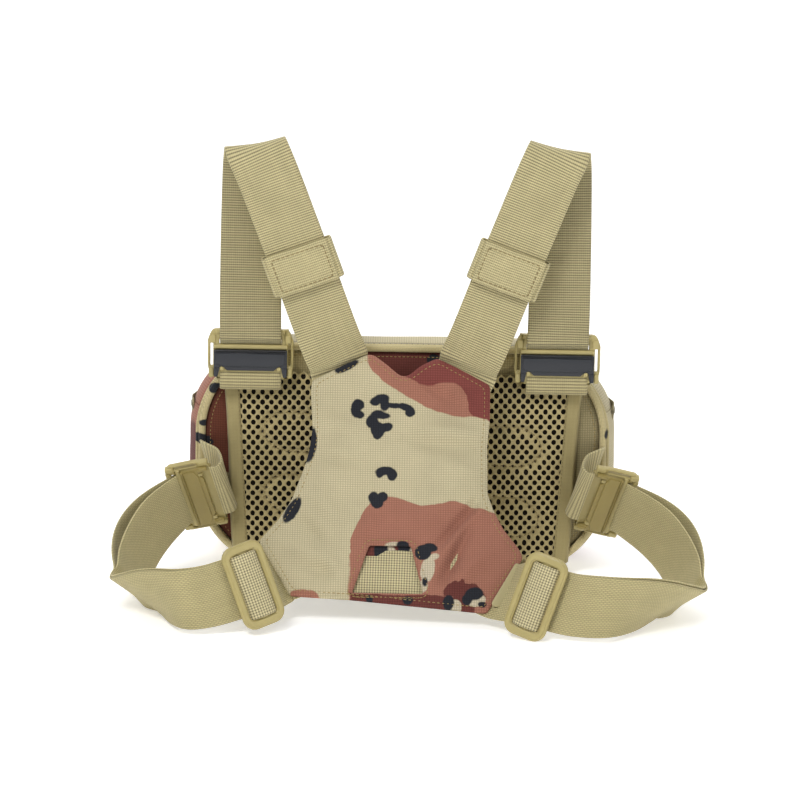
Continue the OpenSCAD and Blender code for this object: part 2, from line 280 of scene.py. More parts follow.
def stitch_mesh(lines, pitch=2.7, length=2.0, radius=0.27):
    """Short threads along lines. Each line is (points, normals) in mm; the ends dip into the cloth."""
    verts, faces = [], []
    for points, normals in lines:
        points = np.asarray(points, float)
        normals = np.broadcast_to(np.asarray(normals, float), points.shape)
        both = resample(np.hstack([points, normals]), pitch)
        for a, b in zip(both[:-1], both[1:]):
            start, step = a[:3], b[:3] - a[:3]
            gapless = np.linalg.norm(step)
            if gapless < 1e-6:
                continue
            along = step / gapless
            out = unit(a[3:])
            side = unit(np.cross(along, out))
            base = len(verts)
            for t, fat, rise in STITCH_RINGS:
                c = start + along * (t * length * pitch / 2.1) + out * rise
                for k in range(6):
                    w = k * math.pi / 3
                    verts.append((c + radius * fat * (math.cos(w) * side + math.sin(w) * out)) * MM)
            for low in (base, base + 6, base + 12):
                for k in range(6):
                    n = (k + 1) % 6
                    faces.append((low + k, low + n, low + 6 + n, low + 6 + k))
            faces.append(tuple(base + k for k in range(6))[::-1])
            faces.append(tuple(base + 18 + k for k in range(6)))
    return verts, faces


def plate_object(name, loops, thick, bevel, axes, sign=1.0, z0=0.0):
    """A plate from closed 2D loops (mm; the first is outside, the rest are holes), edges rounded."""
    data = bpy.data.curves.new(name, "CURVE")
    data.dimensions = "2D"
    data.fill_mode = "BOTH"
    data.extrude = (thick / 2 - bevel)
    data.bevel_depth = bevel
    data.bevel_resolution = 3
    data.offset = -bevel
    for loop in loops:
        spline = data.splines.new("POLY")
        spline.points.add(len(loop) - 1)
        for point, co in zip(spline.points, loop):
            point.co = (co[0], co[1], 0, 1)
        spline.use_cyclic_u = True
    holder = bpy.data.objects.new(name + "_outline", data)
    bpy.context.collection.objects.link(holder)
    bpy.context.view_layer.update()
    mesh = bpy.data.meshes.new_from_object(holder.evaluated_get(bpy.context.evaluated_depsgraph_get()))
    bpy.data.objects.remove(holder)
    bpy.data.curves.remove(data)
    local = np.array([v.co for v in mesh.vertices])
    local[:, 2] += z0 + thick / 2
    world = to_world(axes, local) * MM
    world[:, 0] *= sign
    for vertex, co in zip(mesh.vertices, world):
        vertex.co = co
    if sign < 0:
        mesh.flip_normals()
    obj = bpy.data.objects.new(name, mesh)
    mesh.name = name
    bpy.context.collection.objects.link(obj)
    clean = bmesh.new()
    clean.from_mesh(mesh)
    bmesh.ops.remove_doubles(clean, verts=clean.verts, dist=1e-6)
    bmesh.ops.recalc_face_normals(clean, faces=clean.faces)
    clean.to_mesh(mesh)
    clean.free()
    return obj


def rounded_loop(x0, y0, x1, y1, r, turns=6):
    """Corner-rounded rectangle as a list of points, anticlockwise."""
    corners = ((x1 - r, y1 - r, 0), (x0 + r, y1 - r, 1), (x0 + r, y0 + r, 2), (x1 - r, y0 + r, 3))
    loop = []
    for cx, cy, quarter in corners:
        for k in range(turns + 1):
            angle = math.pi / 2 * (quarter + k / turns)
            loop.append((cx + r * math.cos(angle), cy + r * math.sin(angle)))
    return loop


def join(name, objects):
    """One mesh object out of several."""
    whole = bmesh.new()
    for obj in objects:
        whole.from_mesh(obj.data)
    mesh = bpy.data.meshes.new(name)
    whole.to_mesh(mesh)
    whole.free()
    for obj in objects:
        old = obj.data
        bpy.data.objects.remove(obj)
        bpy.data.meshes.remove(old)
    obj = bpy.data.objects.new(name, mesh)
    bpy.context.collection.objects.link(obj)
    return obj


# ---------------------------------------------------------------- materials

def shade(red, green, blue):
    """Linear colour from 0..255 screen values."""
    return tuple(((c / 255 + 0.055) / 1.055) ** 2.4 if c > 10 else c / 255 / 12.92
                 for c in (red, green, blue)) + (1.0,)


class Net:
    """The node graph of one material."""

    def __init__(self, name, roughness=0.85, specular=0.2, sheen=0.0):
        self.material = bpy.data.materials.new(name)
        self.material.use_nodes = True
        self.tree = self.material.node_tree
        self.shader = self.tree.nodes["Principled BSDF"]
        self.shader.inputs["Roughness"].default_value = roughness
        self.shader.inputs["Specular IOR Level"].default_value = specular
        self.shader.inputs["Sheen Weight"].default_value = sheen

    def put(self, socket, value):
        if isinstance(value, bpy.types.NodeSocket):
            self.tree.links.new(value, socket)
        else:
            socket.default_value = value

    def node(self, kind, values=(), **settings):
        made = self.tree.nodes.new(kind)
        for key, value in settings.items():
            setattr(made, key, value)
        for key, value in values:
            self.put(made.inputs[key], value)
        return made

    def math(self, operation, *values):
        made = self.node("ShaderNodeMath", operation=operation)
        for socket, value in zip(made.inputs, values):
            self.put(socket, value)
        return made.outputs[0]

    def vector(self, operation, *values):
        made = self.node("ShaderNodeVectorMath", operation=operation)
        for socket, value in zip(made.inputs, values):
            self.put(socket, value)
        return made

    def uv(self):
        return self.node("ShaderNodeUVMap", uv_map="UVMap").outputs["UV"]

    def place(self):
        return self.node("ShaderNodeTexCoord").outputs["Object"]

    def parts(self, vector):
        return self.node("ShaderNodeSeparateXYZ", [(0, vector)]).outputs

    def pack(self, x, y, z=0.0):
        return self.node("ShaderNodeCombineXYZ", [(0, x), (1, y), (2, z)]).outputs[0]

    def faced(self, x, y, z):
        """Two coordinates that lie along the surface, picked by which way it faces."""
        facing = self.node("ShaderNodeNewGeometry").outputs["True Normal"]
        nx, _, nz = self.parts(facing)
        sideways = self.math("GREATER_THAN", self.math("ABSOLUTE", nx), 0.72)
        upward = self.math("GREATER_THAN", self.math("ABSOLUTE", nz), 0.72)
        across = self.math("ADD", x, self.math("MULTIPLY", sideways, self.math("SUBTRACT", y, x)))
        return across, self.math("ADD", z, self.math("MULTIPLY", upward, self.math("SUBTRACT", y, z)))

    def noise(self, vector, scale, detail=3.0, rough=0.55, colour=False):
        made = self.node("ShaderNodeTexNoise", [("Vector", vector), ("Scale", scale), ("Detail", detail),
                                                ("Roughness", rough)])
        return made.outputs["Color" if colour else "Fac"]

    def fit(self, value, low, high, to_low=0.0, to_high=1.0, soft=True):
        kind = "SMOOTHSTEP" if soft else "LINEAR"
        made = self.node("ShaderNodeMapRange", [("Value", value), ("From Min", low), ("From Max", high),
                                                ("To Min", to_low), ("To Max", to_high)],
                         interpolation_type=kind)
        return made.outputs["Result"]

    def mix(self, factor, a, b, blend="MIX"):
        made = self.node("ShaderNodeMix", data_type="RGBA", blend_type=blend)
        self.put(made.inputs["Factor"], factor)
        self.put(made.inputs[6], a)
        self.put(made.inputs[7], b)
        return made.outputs[2]

    def dim(self, colour, factor):
        """Colour times a grey factor."""
        return self.mix(1.0, colour, self.pack(factor, factor, factor), "MULTIPLY")

    def wobble(self, vector, scale, amount):
        cloud = self.noise(vector, scale, 2.0, 0.5, True)
        shift = self.vector("SUBTRACT", cloud, (0.5, 0.5, 0.5)).outputs[0]
        made = self.vector("SCALE", shift)
        self.put(made.inputs["Scale"], amount)
        return self.vector("ADD", vector, made.outputs[0]).outputs[0]

    def blob(self, vector, x, y, rx, ry, turn=0.0):
        """About the distance (mm) outside an ellipse; vector is in mm with z = 0."""
        local = self.node("ShaderNodeMapping", [("Vector", vector), ("Location", (x, y, 0)),
                                                ("Rotation", (0, 0, math.radians(turn))),
                                                ("Scale", (rx, ry, 1))], vector_type="TEXTURE")
        length = self.vector("LENGTH", local.outputs[0]).outputs["Value"]
        r = min(rx, ry)
        return self.math("MULTIPLY_ADD", length, r, -r)

    def blobs(self, vector, shapes, blend=1.2):
        """0..1 inside the union of several ellipses, softly joined."""
        total = None
        for shape in shapes:
            one = self.blob(vector, *shape)
            total = one if total is None else self.math("SMOOTH_MIN", total, one, blend)
        return self.fit(total, 0.45, -0.45)

    def below(self, x, y, points, soft=0.6):
        """1 where y is past a curve given by a few (x, y) points, all in mm."""
        low_x, high_x = points[0][0], points[-1][0]
        low_y = min(p[1] for p in points) - 1
        high_y = max(p[1] for p in points) + 1
        made = self.node("ShaderNodeFloatCurve")
        curve = made.mapping.curves[0]
        spots = [((px - low_x) / (high_x - low_x), (py - low_y) / (high_y - low_y)) for px, py in points]
        curve.points[0].location = spots[0]
        curve.points[1].location = spots[-1]
        for spot in spots[1:-1]:
            curve.points.new(*spot)
        made.mapping.update()
        self.put(made.inputs["Value"], self.fit(x, low_x, high_x, soft=False))
        edge = self.fit(made.outputs[0], 0.0, 1.0, low_y, high_y, False)
        return self.fit(self.math("SUBTRACT", y, edge), -soft, soft)

    def bump(self, height, distance, strength=1.0):
        made = self.node("ShaderNodeBump", [("Height", height), ("Distance", distance),
                                            ("Strength", strength)])
        return made.outputs[0]

    def done(self, colour, normal=None, roughness=None):
        self.put(self.shader.inputs["Base Color"], colour)
        if normal is not None:
            self.put(self.shader.inputs["Normal"], normal)
        if roughness is not None:
            self.put(self.shader.inputs["Roughness"], roughness)
        return self.material


TAN = shade(186, 174, 130)
TAN_RIB = shade(202, 190, 144)
CLOTH_TAN = shade(196, 185, 151)
# Rust print colour of the rear panel, darkened: the darkening is painted shade for the recessed panel.
SHADED_RUST = shade(98, 54, 40)
SALMON = shade(164, 112, 93)
DARK_RED = shade(104, 56, 50)
PEBBLE = shade(38, 40, 46)
HIGHLIGHT = shade(198, 186, 160)


def webbing(name, colour, rib=0.00155, pin=0.0012, basket=0.0, depth=0.00035, contrast=0.30,
            rear=0.0, share=None):
    """Woven band: ribs across it, fine columns along it. basket shifts every second column. rear, when set,
    darkens the shoulder straps' rear legs by that factor as painted shade.
    """
    net = Net(name, 0.82, 0.18, 0.15)
    u, v, _ = net.parts(net.uv())
    column = net.math("DIVIDE", u, pin)
    row = net.math("DIVIDE", v, rib)
    odd = net.math("FLOORED_MODULO", net.math("FLOOR", column), 2.0)
    row = net.math("MULTIPLY_ADD", odd, basket, row)
    ribs = net.math("SINE", net.math("MULTIPLY", net.math("FRACT", row), math.pi))
    pins = net.math("SINE", net.math("MULTIPLY", net.math("FRACT", column), math.pi))
    pins = net.math("POWER", net.math("ABSOLUTE", pins), 0.6)
    if share is None:
        share = 0.35 + 0.25 * (basket > 0)
    ribs = net.math("POWER", net.math("ABSOLUTE", ribs), 0.8)
    height = net.math("ADD", net.math("MULTIPLY", ribs, 1 - share), net.math("MULTIPLY", pins, share))
    flat = net.pack(u, v)
    fuzz = net.noise(flat, 2600.0, 2.0)
    patch = net.noise(flat, 60.0, 3.0)
    streak = net.noise(net.pack(net.math("MULTIPLY", u, 900.0), net.math("MULTIPLY", v, 20.0)), 1.0, 2.0)
    level = net.fit(height, 0.15, 1.0, 1 - contrast, 1.03, False)
    level = net.math("MULTIPLY", level, net.fit(patch, 0.3, 0.7, 0.95, 1.05, False))
    level = net.math("MULTIPLY", level, net.fit(streak, 0.3, 0.7, 0.955, 1.045, False))
    level = net.math("MULTIPLY", level, net.fit(fuzz, 0.3, 0.7, 0.93, 1.07, False))
    # Painted shade: the outer rear legs of the shoulder straps, picked by position, are darkened by the
    # factor rear.
    if rear:
        x, y, _ = net.parts(net.place())
        outward = net.fit(net.math("ABSOLUTE", x), 0.062, 0.068)
        rear_leg_shade = net.math("MULTIPLY", net.fit(y, -0.0640, -0.0608), outward)
        level = net.math("MULTIPLY", level, net.math("MULTIPLY_ADD", rear_leg_shade, rear - 1.0, 1.0))
    normal = net.bump(net.math("ADD", height, net.math("MULTIPLY", fuzz, 0.25)), depth, 1.0)
    return net.done(net.dim(colour, level), normal)


def cloth_grain(net, x, y, pitch=0.0015, depth=0.00012):
    """Ripstop: a square grid of heavier threads over a plain weave. Returns (level, normal)."""
    lines = None
    for axis in (x, y):
        wave = net.math("FRACT", net.math("DIVIDE", axis, pitch))
        line = net.fit(net.math("ABSOLUTE", net.math("SUBTRACT", wave, 0.5)), 0.5, 0.24)
        lines = line if lines is None else net.math("MULTIPLY", lines, line)
    fine = [net.math("SINE", net.math("MULTIPLY", axis, 2 * math.pi / 0.00052)) for axis in (x, y)]
    weave = net.math("MULTIPLY", fine[0], fine[1])
    flat = net.pack(x, y)
    fuzz = net.noise(flat, 1700.0, 2.0)
    patch = net.noise(flat, 45.0, 3.0)
    level = net.fit(lines, 0.0, 1.0, 0.70, 1.07, False)
    level = net.math("MULTIPLY", level, net.fit(fuzz, 0.3, 0.7, 0.92, 1.08, False))
    level = net.math("MULTIPLY", level, net.fit(patch, 0.3, 0.7, 0.95, 1.05, False))
    height = net.math("ADD", net.math("MULTIPLY", weave, 0.25), net.math("SUBTRACT", 1.0, lines))
    return level, net.bump(height, depth, 0.7)


def paint(net, colour, mask, other):
    return net.mix(mask, colour, other)


def yoke_camo():
    """The yoke's printed cloth. UV is (across, down from the neckline)."""
    net = Net("yoke_camo", 0.84, 0.16, 0.1)
    u, v, _ = net.parts(net.uv())
    mm = net.pack(net.math("MULTIPLY", u, 1000.0), net.math("MULTIPLY", v, 1000.0))
    bent = net.wobble(mm, 0.075, 4.0)
    bent = net.wobble(bent, 0.35, 1.0)
    x, s, _ = net.parts(bent)
    colour = CLOTH_TAN
    in_band = net.math("SUBTRACT", 1.0, net.below(x, s, [
        (-22.7, -1), (-16.6, 6.3), (-3.8, 15.6), (7.8, 23), (19.3, 28.6), (32, 31.8), (45, 31.8),
        (56, 37)]))
    right = net.fit(x, -23.5, -22.0)
    colour = paint(net, colour, net.math("MULTIPLY", in_band, right), SALMON)
    dark = net.math("SUBTRACT", 1.0, net.below(x, s, [
        (0, 6.5), (5.6, 9), (12.5, 11.4), (24, 10.4), (33, 11.4), (38.5, 18), (42, 29.9), (50, 33),
        (56, 36)]))
    dark = net.math("MULTIPLY", dark, net.fit(x, -1.0, 2.0))
    colour = paint(net, colour, dark, shade(128, 68, 62))
    low = net.below(x, s, [(-33, 140), (-31, 128), (-29.5, 112), (-25, 103), (-21, 93), (-8.4, 87.5),
                           (5.4, 90.7), (12.3, 93), (21.4, 92), (31.8, 90), (39.8, 92), (49, 95), (70, 97)])
    low = net.math("MULTIPLY", low, net.fit(x, -32.0, -30.0))
    colour = paint(net, colour, low, SALMON)
    colour = paint(net, colour, net.blobs(bent, [(-58, 156, 9, 6)]), SALMON)
    hem = net.math("MULTIPLY", net.fit(s, 152.6, 153.4), net.fit(x, -31.0, -29.5))
    colour = paint(net, colour, net.math("MULTIPLY", hem, net.fit(x, 46.0, 44.0)), DARK_RED)
    colour = paint(net, colour, net.blobs(bent, [(39, 152, 12.5, 9.5, 10), (33, 158, 8, 6)]), DARK_RED)
    lights = [(16.5, 136, 3.8, 7.5, 8), (13.5, 147, 3.0, 3.5), (33.5, 160, 3.5, 4),
              (46.5, 156, 5.0, 3.6, -20), (20.3, 127.5, 2.8, 2.0), (-4, 120.2, 5, 2.2)]
    firm = net.wobble(mm, 0.3, 1.1)
    wide = [(x, y, rx * 1.12, ry * 1.12, *turn) for x, y, rx, ry, *turn in lights]
    colour = paint(net, colour, net.blobs(firm, wide), HIGHLIGHT)
    pebbles = [
        (-27.5, 25.5, 3.0, 2.6), (-29.2, 29.0, 2.4, 4.2), (-26.6, 32.0, 2.2, 2.0),
        (-17.5, 23.4, 2.4, 2.0), (-13.5, 21.4, 4.2, 2.4, -8), (-11.4, 25.0, 2.2, 3.4),
        (-6.0, 25.6, 4.6, 1.3, 4), (1.2, 26.4, 3.6, 1.8, 14), (4.4, 29.8, 2.4, 2.6, 40),
        (-15.5, 31.4, 3.4, 2.2), (-19.0, 36.5, 3.0, 3.8), (-15.2, 42.0, 3.6, 4.6), (-11.5, 32.4, 3.0, 1.5),
        (-10.0, 40.0, 3.2, 2.4, -20), (-15.8, 46.2, 1.8, 2.0),
        (-10.8, 70.0, 4.6, 2.3, -8), (-6.0, 72.6, 2.6, 3.2), (-13.6, 72.4, 1.7, 1.8),
        (-17.2, 88.0, 2.5, 3.2), (-11.6, 87.6, 2.6, 2.6, 20), (-14.8, 91.6, 3.2, 3.2),
        (-57.0, 52.5, 3.6, 10.5, 4), (-66.5, 97.5, 3.0, 8.0, 28), (-35.0, 0.4, 6.4, 2.5, -26),
        (-38.5, 3.0, 3.0, 1.8, -20), (13.5, 124.6, 4.0, 4.2, -30), (18.2, 121.2, 3.6, 2.3, 10),
        (15.0, 144.0, 1.2, 2.4), (45.0, 151.5, 4.6, 3.4, -10), (40.6, 155.5, 2.4, 3.0),
        (29.4, 157.5, 2.8, 4.0), (49.8, 158.6, 2.0, 1.6), (1.2, 119.8, 3.2, 2.3),
        (-18.4, 156.0, 1.6, 2.2), (4.8, 156.5, 2.6, 2.2)]
    grown = [(x, y, rx * 1.17 + 0.2, ry * 1.17 + 0.2, *turn) for x, y, rx, ry, *turn in pebbles]
    colour = paint(net, colour, net.blobs(firm, grown, 1.6), PEBBLE)
    level, normal = cloth_grain(net, u, v)
    return net.done(net.dim(colour, level), normal)


def camo_cloth(name, kind):
    """Printed cloth for the pack itself. kind picks how the patches lie; the rear kind has darker tan and
    rust, painted shade for the recessed rear panel.
    """
    net = Net(name, 0.84, 0.16, 0.1)
    at = net.place()
    x, y, z = net.parts(at)
    mm = net.vector("SCALE", at)
    mm.inputs["Scale"].default_value = 1000.0
    bent = net.wobble(net.wobble(mm.outputs[0], 0.06, 7.0), 0.16, 4.2)
    bx, by, bz = net.parts(bent)
    # Painted shade: the rear panel's tan ground is a darker copy of CLOTH_TAN.
    colour = CLOTH_TAN if kind != "rear" else shade(150, 139, 104)
    if kind == "rear":
        left = net.fit(bx, 0.0, -2.0)
        tan_patch = net.blobs(net.pack(bx, bz), [(-112, 53, 14, 11), (-118, 60, 8, 8)])
        colour = paint(net, colour, net.math("MULTIPLY", left, net.math("SUBTRACT", 1.0, tan_patch)), SHADED_RUST)
        top = net.blobs(net.pack(bx, bz), [(-4, 146, 62, 22)])
        colour = paint(net, colour, top, DARK_RED)
        pale = net.blobs(net.pack(bx, bz), [(-72, 138, 24, 14), (60, 140, 8, 8)])
        colour = paint(net, colour, pale, shade(176, 163, 122))
        pebbles = net.blobs(net.pack(bx, bz), [(-122, 83, 4, 3), (-30, 140, 6, 3), (18, 139, 4, 3)])
    else:
        big = net.noise(bent, 0.0125, 1.0, 0.4)
        colour = paint(net, colour, net.fit(big, 0.505, 0.515), SALMON)
        colour = paint(net, colour, net.fit(big, 0.60, 0.61), DARK_RED)
        cells = net.node("ShaderNodeTexVoronoi", [("Vector", bent), ("Scale", 0.034), ("Randomness", 0.9)])
        cell = net.parts(cells.outputs["Color"])[0]
        group = net.fit(net.noise(bent, 0.02, 1.0, 0.5), 0.50, 0.56)
        chosen = net.math("MULTIPLY", net.math("GREATER_THAN", cell, 0.62), group)
        near = net.vector("ADD", bent, (-2.6, 0.0, 2.8)).outputs[0]
        again = net.node("ShaderNodeTexVoronoi", [("Vector", near), ("Scale", 0.034), ("Randomness", 0.9)])
        cell2 = net.parts(again.outputs["Color"])[0]
        chosen2 = net.math("MULTIPLY", net.math("GREATER_THAN", cell2, 0.62), group)
        light = net.math("MULTIPLY", net.fit(again.outputs["Distance"], 0.23, 0.21), chosen2)
        colour = paint(net, colour, light, HIGHLIGHT)
        pebbles = net.math("MULTIPLY", net.fit(cells.outputs["Distance"], 0.25, 0.23), chosen)
    colour = paint(net, colour, pebbles, PEBBLE)
    if kind != "rear":
        seam = net.math("MULTIPLY", net.fit(by, 14.0, 8.0), net.fit(bz, 128.0, 132.0))
        corner = net.math("MULTIPLY", net.fit(bx, 90.0, 94.0), net.fit(by, -4.0, -8.0))
        seam = net.math("MAXIMUM", seam, corner)
        colour = paint(net, colour, seam, CLOTH_TAN)
    across, up = net.faced(x, y, z)
    level, normal = cloth_grain(net, across, up)
    return net.done(net.dim(colour, level), normal)


def plain_cloth(name, colour, kind="place"):
    net = Net(name, 0.86, 0.15, 0.15)
    if kind == "uv":
        x, z, _ = net.parts(net.uv())
    else:
        x, z = net.faced(*net.parts(net.place()))
    level, normal = cloth_grain(net, x, z)
    return net.done(net.dim(colour, level), normal)


YARN_PITCH = 0.0006


def spacer_yarn(colour):
    net = Net("mesh_yarn", 0.9, 0.1, 0.2)
    at = net.place()
    x, _, z = net.parts(at)
    slant = net.math("ADD", x, net.math("MULTIPLY", z, 0.6))
    yarn = net.math("SINE", net.math("MULTIPLY", slant, 2 * math.pi / YARN_PITCH))
    fuzz = net.noise(at, 1500.0, 3.0)
    patch = net.noise(at, 40.0, 2.0)
    level = net.math("MULTIPLY", net.fit(yarn, -1.0, 1.0, 0.88, 1.06, False),
                     net.fit(fuzz, 0.3, 0.7, 0.86, 1.12, False))
    level = net.math("MULTIPLY", level, net.fit(patch, 0.3, 0.7, 0.93, 1.06, False))
    height = net.math("ADD", net.math("MULTIPLY", yarn, 0.5), fuzz)
    return net.done(net.dim(colour, level), net.bump(height, 0.0002, 0.8))


def hard(name, colour, roughness=0.42, grain=0.00004, specular=0.4):
    """Moulded plastic with a faint texture and slightly uneven gloss."""
    net = Net(name, roughness, specular)
    at = net.place()
    fine = net.noise(at, 2400.0, 2.0)
    patch = net.noise(at, 70.0, 3.0)
    scuff = net.fit(net.noise(at, 260.0, 4.0, 0.7), 0.60, 0.75)
    level = net.math("MULTIPLY", net.fit(patch, 0.3, 0.7, 0.95, 1.05, False),
                     net.fit(scuff, 0.0, 1.0, 1.0, 1.08, False))
    rough = net.fit(patch, 0.3, 0.7, roughness - 0.06, roughness + 0.10, False)
    return net.done(net.dim(colour, level), net.bump(fine, grain, 0.8), rough)


def thread(name, colour):
    net = Net(name, 0.7, 0.25, 0.1)
    fuzz = net.noise(net.place(), 1800.0, 2.0)
    return net.done(net.dim(colour, net.fit(fuzz, 0.3, 0.7, 0.85, 1.12, False)))


WEB = webbing("webbing_tan", TAN_RIB, contrast=0.66)
# rear=0.76 paints shade onto the shoulder straps' rear legs.
WEB_RIB = webbing("webbing_ribbed", TAN_RIB, contrast=0.80, rear=0.76, share=0.22)
WEB_LOOP = webbing("webbing_loop", TAN, rib=0.0019, contrast=0.66, share=0.2)
WEB_BASKET = webbing("webbing_basket", shade(194, 182, 134), rib=0.0021, pin=0.00115, basket=0.5,
                     contrast=0.60)
WEB_GRID = webbing("webbing_grid", shade(214, 202, 158), rib=0.0016, pin=0.0016, contrast=1.0, share=0.5)
# Binding tape tan, darkened: the darkening is painted shade from the recess along the pad's edges.
BINDING = webbing("binding_tape", shade(160, 147, 103), rib=0.0009, pin=0.0007, contrast=0.14,
                  depth=0.00012)
YOKE_CAMO = yoke_camo()
REAR_CAMO = camo_cloth("rear_camo", "rear")
BODY_CAMO = camo_cloth("body_camo", "all")
LINING = plain_cloth("lining_cloth", shade(92, 88, 74))
YOKE_BACK = plain_cloth("yoke_back_cloth", shade(176, 164, 124), "uv")
MESH = spacer_yarn(shade(190, 174, 126))
# The mesh backing's near-black colour is painted shade inside the mesh holes.
MESH_BACK_SHADE = plain_cloth("mesh_backing", shade(30, 25, 17))
FOAM = plain_cloth("foam_grey", shade(90, 88, 82))
TAN_PLASTIC = hard("tan_plastic", shade(176, 162, 108), 0.36)
OLIVE_PLASTIC = hard("olive_plastic", shade(150, 134, 78), 0.36)
BLACK_PLASTIC = hard("black_plastic", shade(44, 46, 51), 0.34)
SHEET_PLASTIC = hard("sheet_plastic", shade(205, 203, 195), 0.5)
ZIP_TEETH = hard("zip_teeth", shade(120, 112, 86), 0.4)
THREAD = thread("thread_tan", shade(158, 136, 84))
THREAD_DARK = thread("thread_shadow", shade(140, 124, 84))


# ---------------------------------------------------------------- pack: shell, panels, piping

REAR_Y = -38.0
LID_Z = 104.0
LID_Y = -31.5
SHELL_STATIONS = [  # y, width, height, corner radius, mm
    (-38, 251, 143, 55), (-36.5, 255, 145.6, 56.7), (-30, 260.6, 146, 58), (-22, 266.5, 146, 59.4),
    (-14, 268.6, 145.4, 59.6), (-4, 264.4, 143.8, 59), (8, 255.4, 140, 57.4), (20, 249, 135.2, 55.6),
    (30, 243, 131, 54), (35, 238.4, 128, 52.6), (37.4, 233, 125.4, 50.6), (38, 227, 122, 48)]


def ring(w, h, r, z, count=200):
    """count points of the same shape, matched by angle round its middle."""
    r = min(r, h / 2 - 0.01)
    loop = np.array(rounded_loop(-w / 2, z, w / 2, z + h, r, 32))
    run_loop = np.vstack([loop, loop[:1]])
    run = np.concatenate([[0], np.cumsum(np.linalg.norm(np.diff(run_loop, axis=0), axis=1))])
    at = np.linspace(0, run[-1], count, endpoint=False)
    return np.stack([np.interp(at, run, run_loop[:, k]) for k in range(2)], axis=1)


def shell_size(y):
    """Width, height and corner radius of the pack's outline at a depth."""
    ys = [s[0] for s in SHELL_STATIONS]
    return tuple(float(np.interp(y, ys, [s[k] for s in SHELL_STATIONS])) for k in (1, 2, 3))


def puff(verts, normals, amount, scale, seed=0.0):
    """Small smooth swells along the normals, in mm."""
    v = verts * scale + seed
    swell = (np.sin(v[:, 0] * 1.0 + 0.7 * np.sin(v[:, 2] * 1.3))
             + np.sin(v[:, 2] * 1.7 + 1.1 * np.sin(v[:, 1] * 1.1))
             + np.sin(v[:, 1] * 1.9 + v[:, 0] * 0.6)) / 3
    return verts + normals * (swell * amount)[:, None]


def loft(rings, close_front=True, close_rear=True):
    """Faces joining rings of equal length; each end closes to its middle point."""
    count = len(rings[0])
    verts = np.vstack(rings)
    faces = []
    for i in range(len(rings) - 1):
        for j in range(count):
            k = (j + 1) % count
            faces.append((i * count + j, i * count + k, (i + 1) * count + k, (i + 1) * count + j))
    for close, base, flip in ((close_rear, 0, True), (close_front, (len(rings) - 1) * count, False)):
        if close:
            verts = np.vstack([verts, verts[base:base + count].mean(axis=0)])
            tip = len(verts) - 1
            for j in range(count):
                k = (j + 1) % count
                faces.append((base + k, base + j, tip) if flip else (base + j, base + k, tip))
    return verts, faces


def shell_mesh():
    """The pack's whole outer skin (mm), as a bmesh with outward normals."""
    rings = []
    inner = [(f, REAR_Y) for f in (0.03, 0.25, 0.5, 0.75, 0.92)]
    for f, y in inner:
        w, h, r = 250, 143, 55
        p = ring(w, h, r, 1.4)
        mid = np.array([0, 72.0])
        q = mid + (p - mid) * f
        rings.append(np.column_stack([q[:, 0], np.full(len(q), y), q[:, 1]]))
    for y, w, h, r in SHELL_STATIONS:
        low = 0.3 if y not in (-38, 38) else 1.4
        p = ring(w, h - low, r, low)
        rings.append(np.column_stack([p[:, 0], np.full(len(p), y), p[:, 1]]))
    for f, y in ((0.96, 38.5), (0.88, 38.6), (0.75, 38.6), (0.5, 38.6), (0.25, 38.6), (0.03, 38.6)):
        p = ring(227, 120.6, 48, 1.4)
        mid = np.array([0, 61.5])
        q = mid + (p - mid) * f
        rings.append(np.column_stack([q[:, 0], np.full(len(q), y - 0.6), q[:, 1]]))
    verts, faces = loft(rings)
    mesh = bmesh.new()
    made = [mesh.verts.new(tuple(v * MM)) for v in verts]
    for f in faces:
        mesh.faces.new([made[i] for i in f])
    bmesh.ops.remove_doubles(mesh, verts=mesh.verts, dist=1e-6)
    bmesh.ops.recalc_face_normals(mesh, faces=mesh.faces)
    return mesh


def shell_piece(name, keep, material, body, replaces, thick=2.6, inward=0.0):
    """Part of the skin on one side of the lid's parting planes, given thickness inwards."""
    mesh = shell_mesh()
    everything = mesh.verts[:] + mesh.edges[:] + mesh.faces[:]
    bmesh.ops.bisect_plane(mesh, geom=everything, plane_co=(0, 0, (LID_Z - 0.15) * MM), plane_no=(0, 0, 1))
    everything = mesh.verts[:] + mesh.edges[:] + mesh.faces[:]
    bmesh.ops.bisect_plane(mesh, geom=everything, plane_co=(0, (LID_Y - 0.15) * MM, 0), plane_no=(0, 1, 0))
    drop = []
    for face in mesh.faces:
        c = face.calc_center_median() / MM
        lid = c.z > LID_Z - 0.15 and c.y > LID_Y - 0.15
        if lid != (keep == "lid"):
            drop.append(face)
    bmesh.ops.delete(mesh, geom=drop, context="FACES")
    data = bpy.data.meshes.new(name)
    mesh.normal_update()
    for vert in mesh.verts:
        p = np.array([vert.co[:]]) / MM
        n = np.array([vert.normal[:]])
        swell = 0.45 if -30 < p[0, 1] < 34 else 0.1
        moved = puff(p, n, swell, 0.085)[0] - n[0] * inward
        vert.co = Vector(moved * MM)
        if keep == "lid":
            vert.co.z = max(vert.co.z, (LID_Z + 0.1) * MM)
        else:
            if vert.co.y > (LID_Y - 0.1) * MM:
                vert.co.z = min(vert.co.z, (LID_Z - 0.35) * MM)
    mesh.to_mesh(data)
    mesh.free()
    obj = bpy.data.objects.new(name, data)
    bpy.context.collection.objects.link(obj)
    solid = obj.modifiers.new("thick", "SOLIDIFY")
    solid.thickness = thick * MM
    solid.offset = -1
    bake(obj)
    return settle(obj, material, body, replaces)


def bake(obj):
    """Applies an object's modifiers."""
    depsgraph = bpy.context.evaluated_depsgraph_get()
    depsgraph.update()
    mesh = bpy.data.meshes.new_from_object(obj.evaluated_get(depsgraph))
    old = obj.data
    obj.modifiers.clear()
    obj.data = mesh
    bpy.data.meshes.remove(old)
    return obj


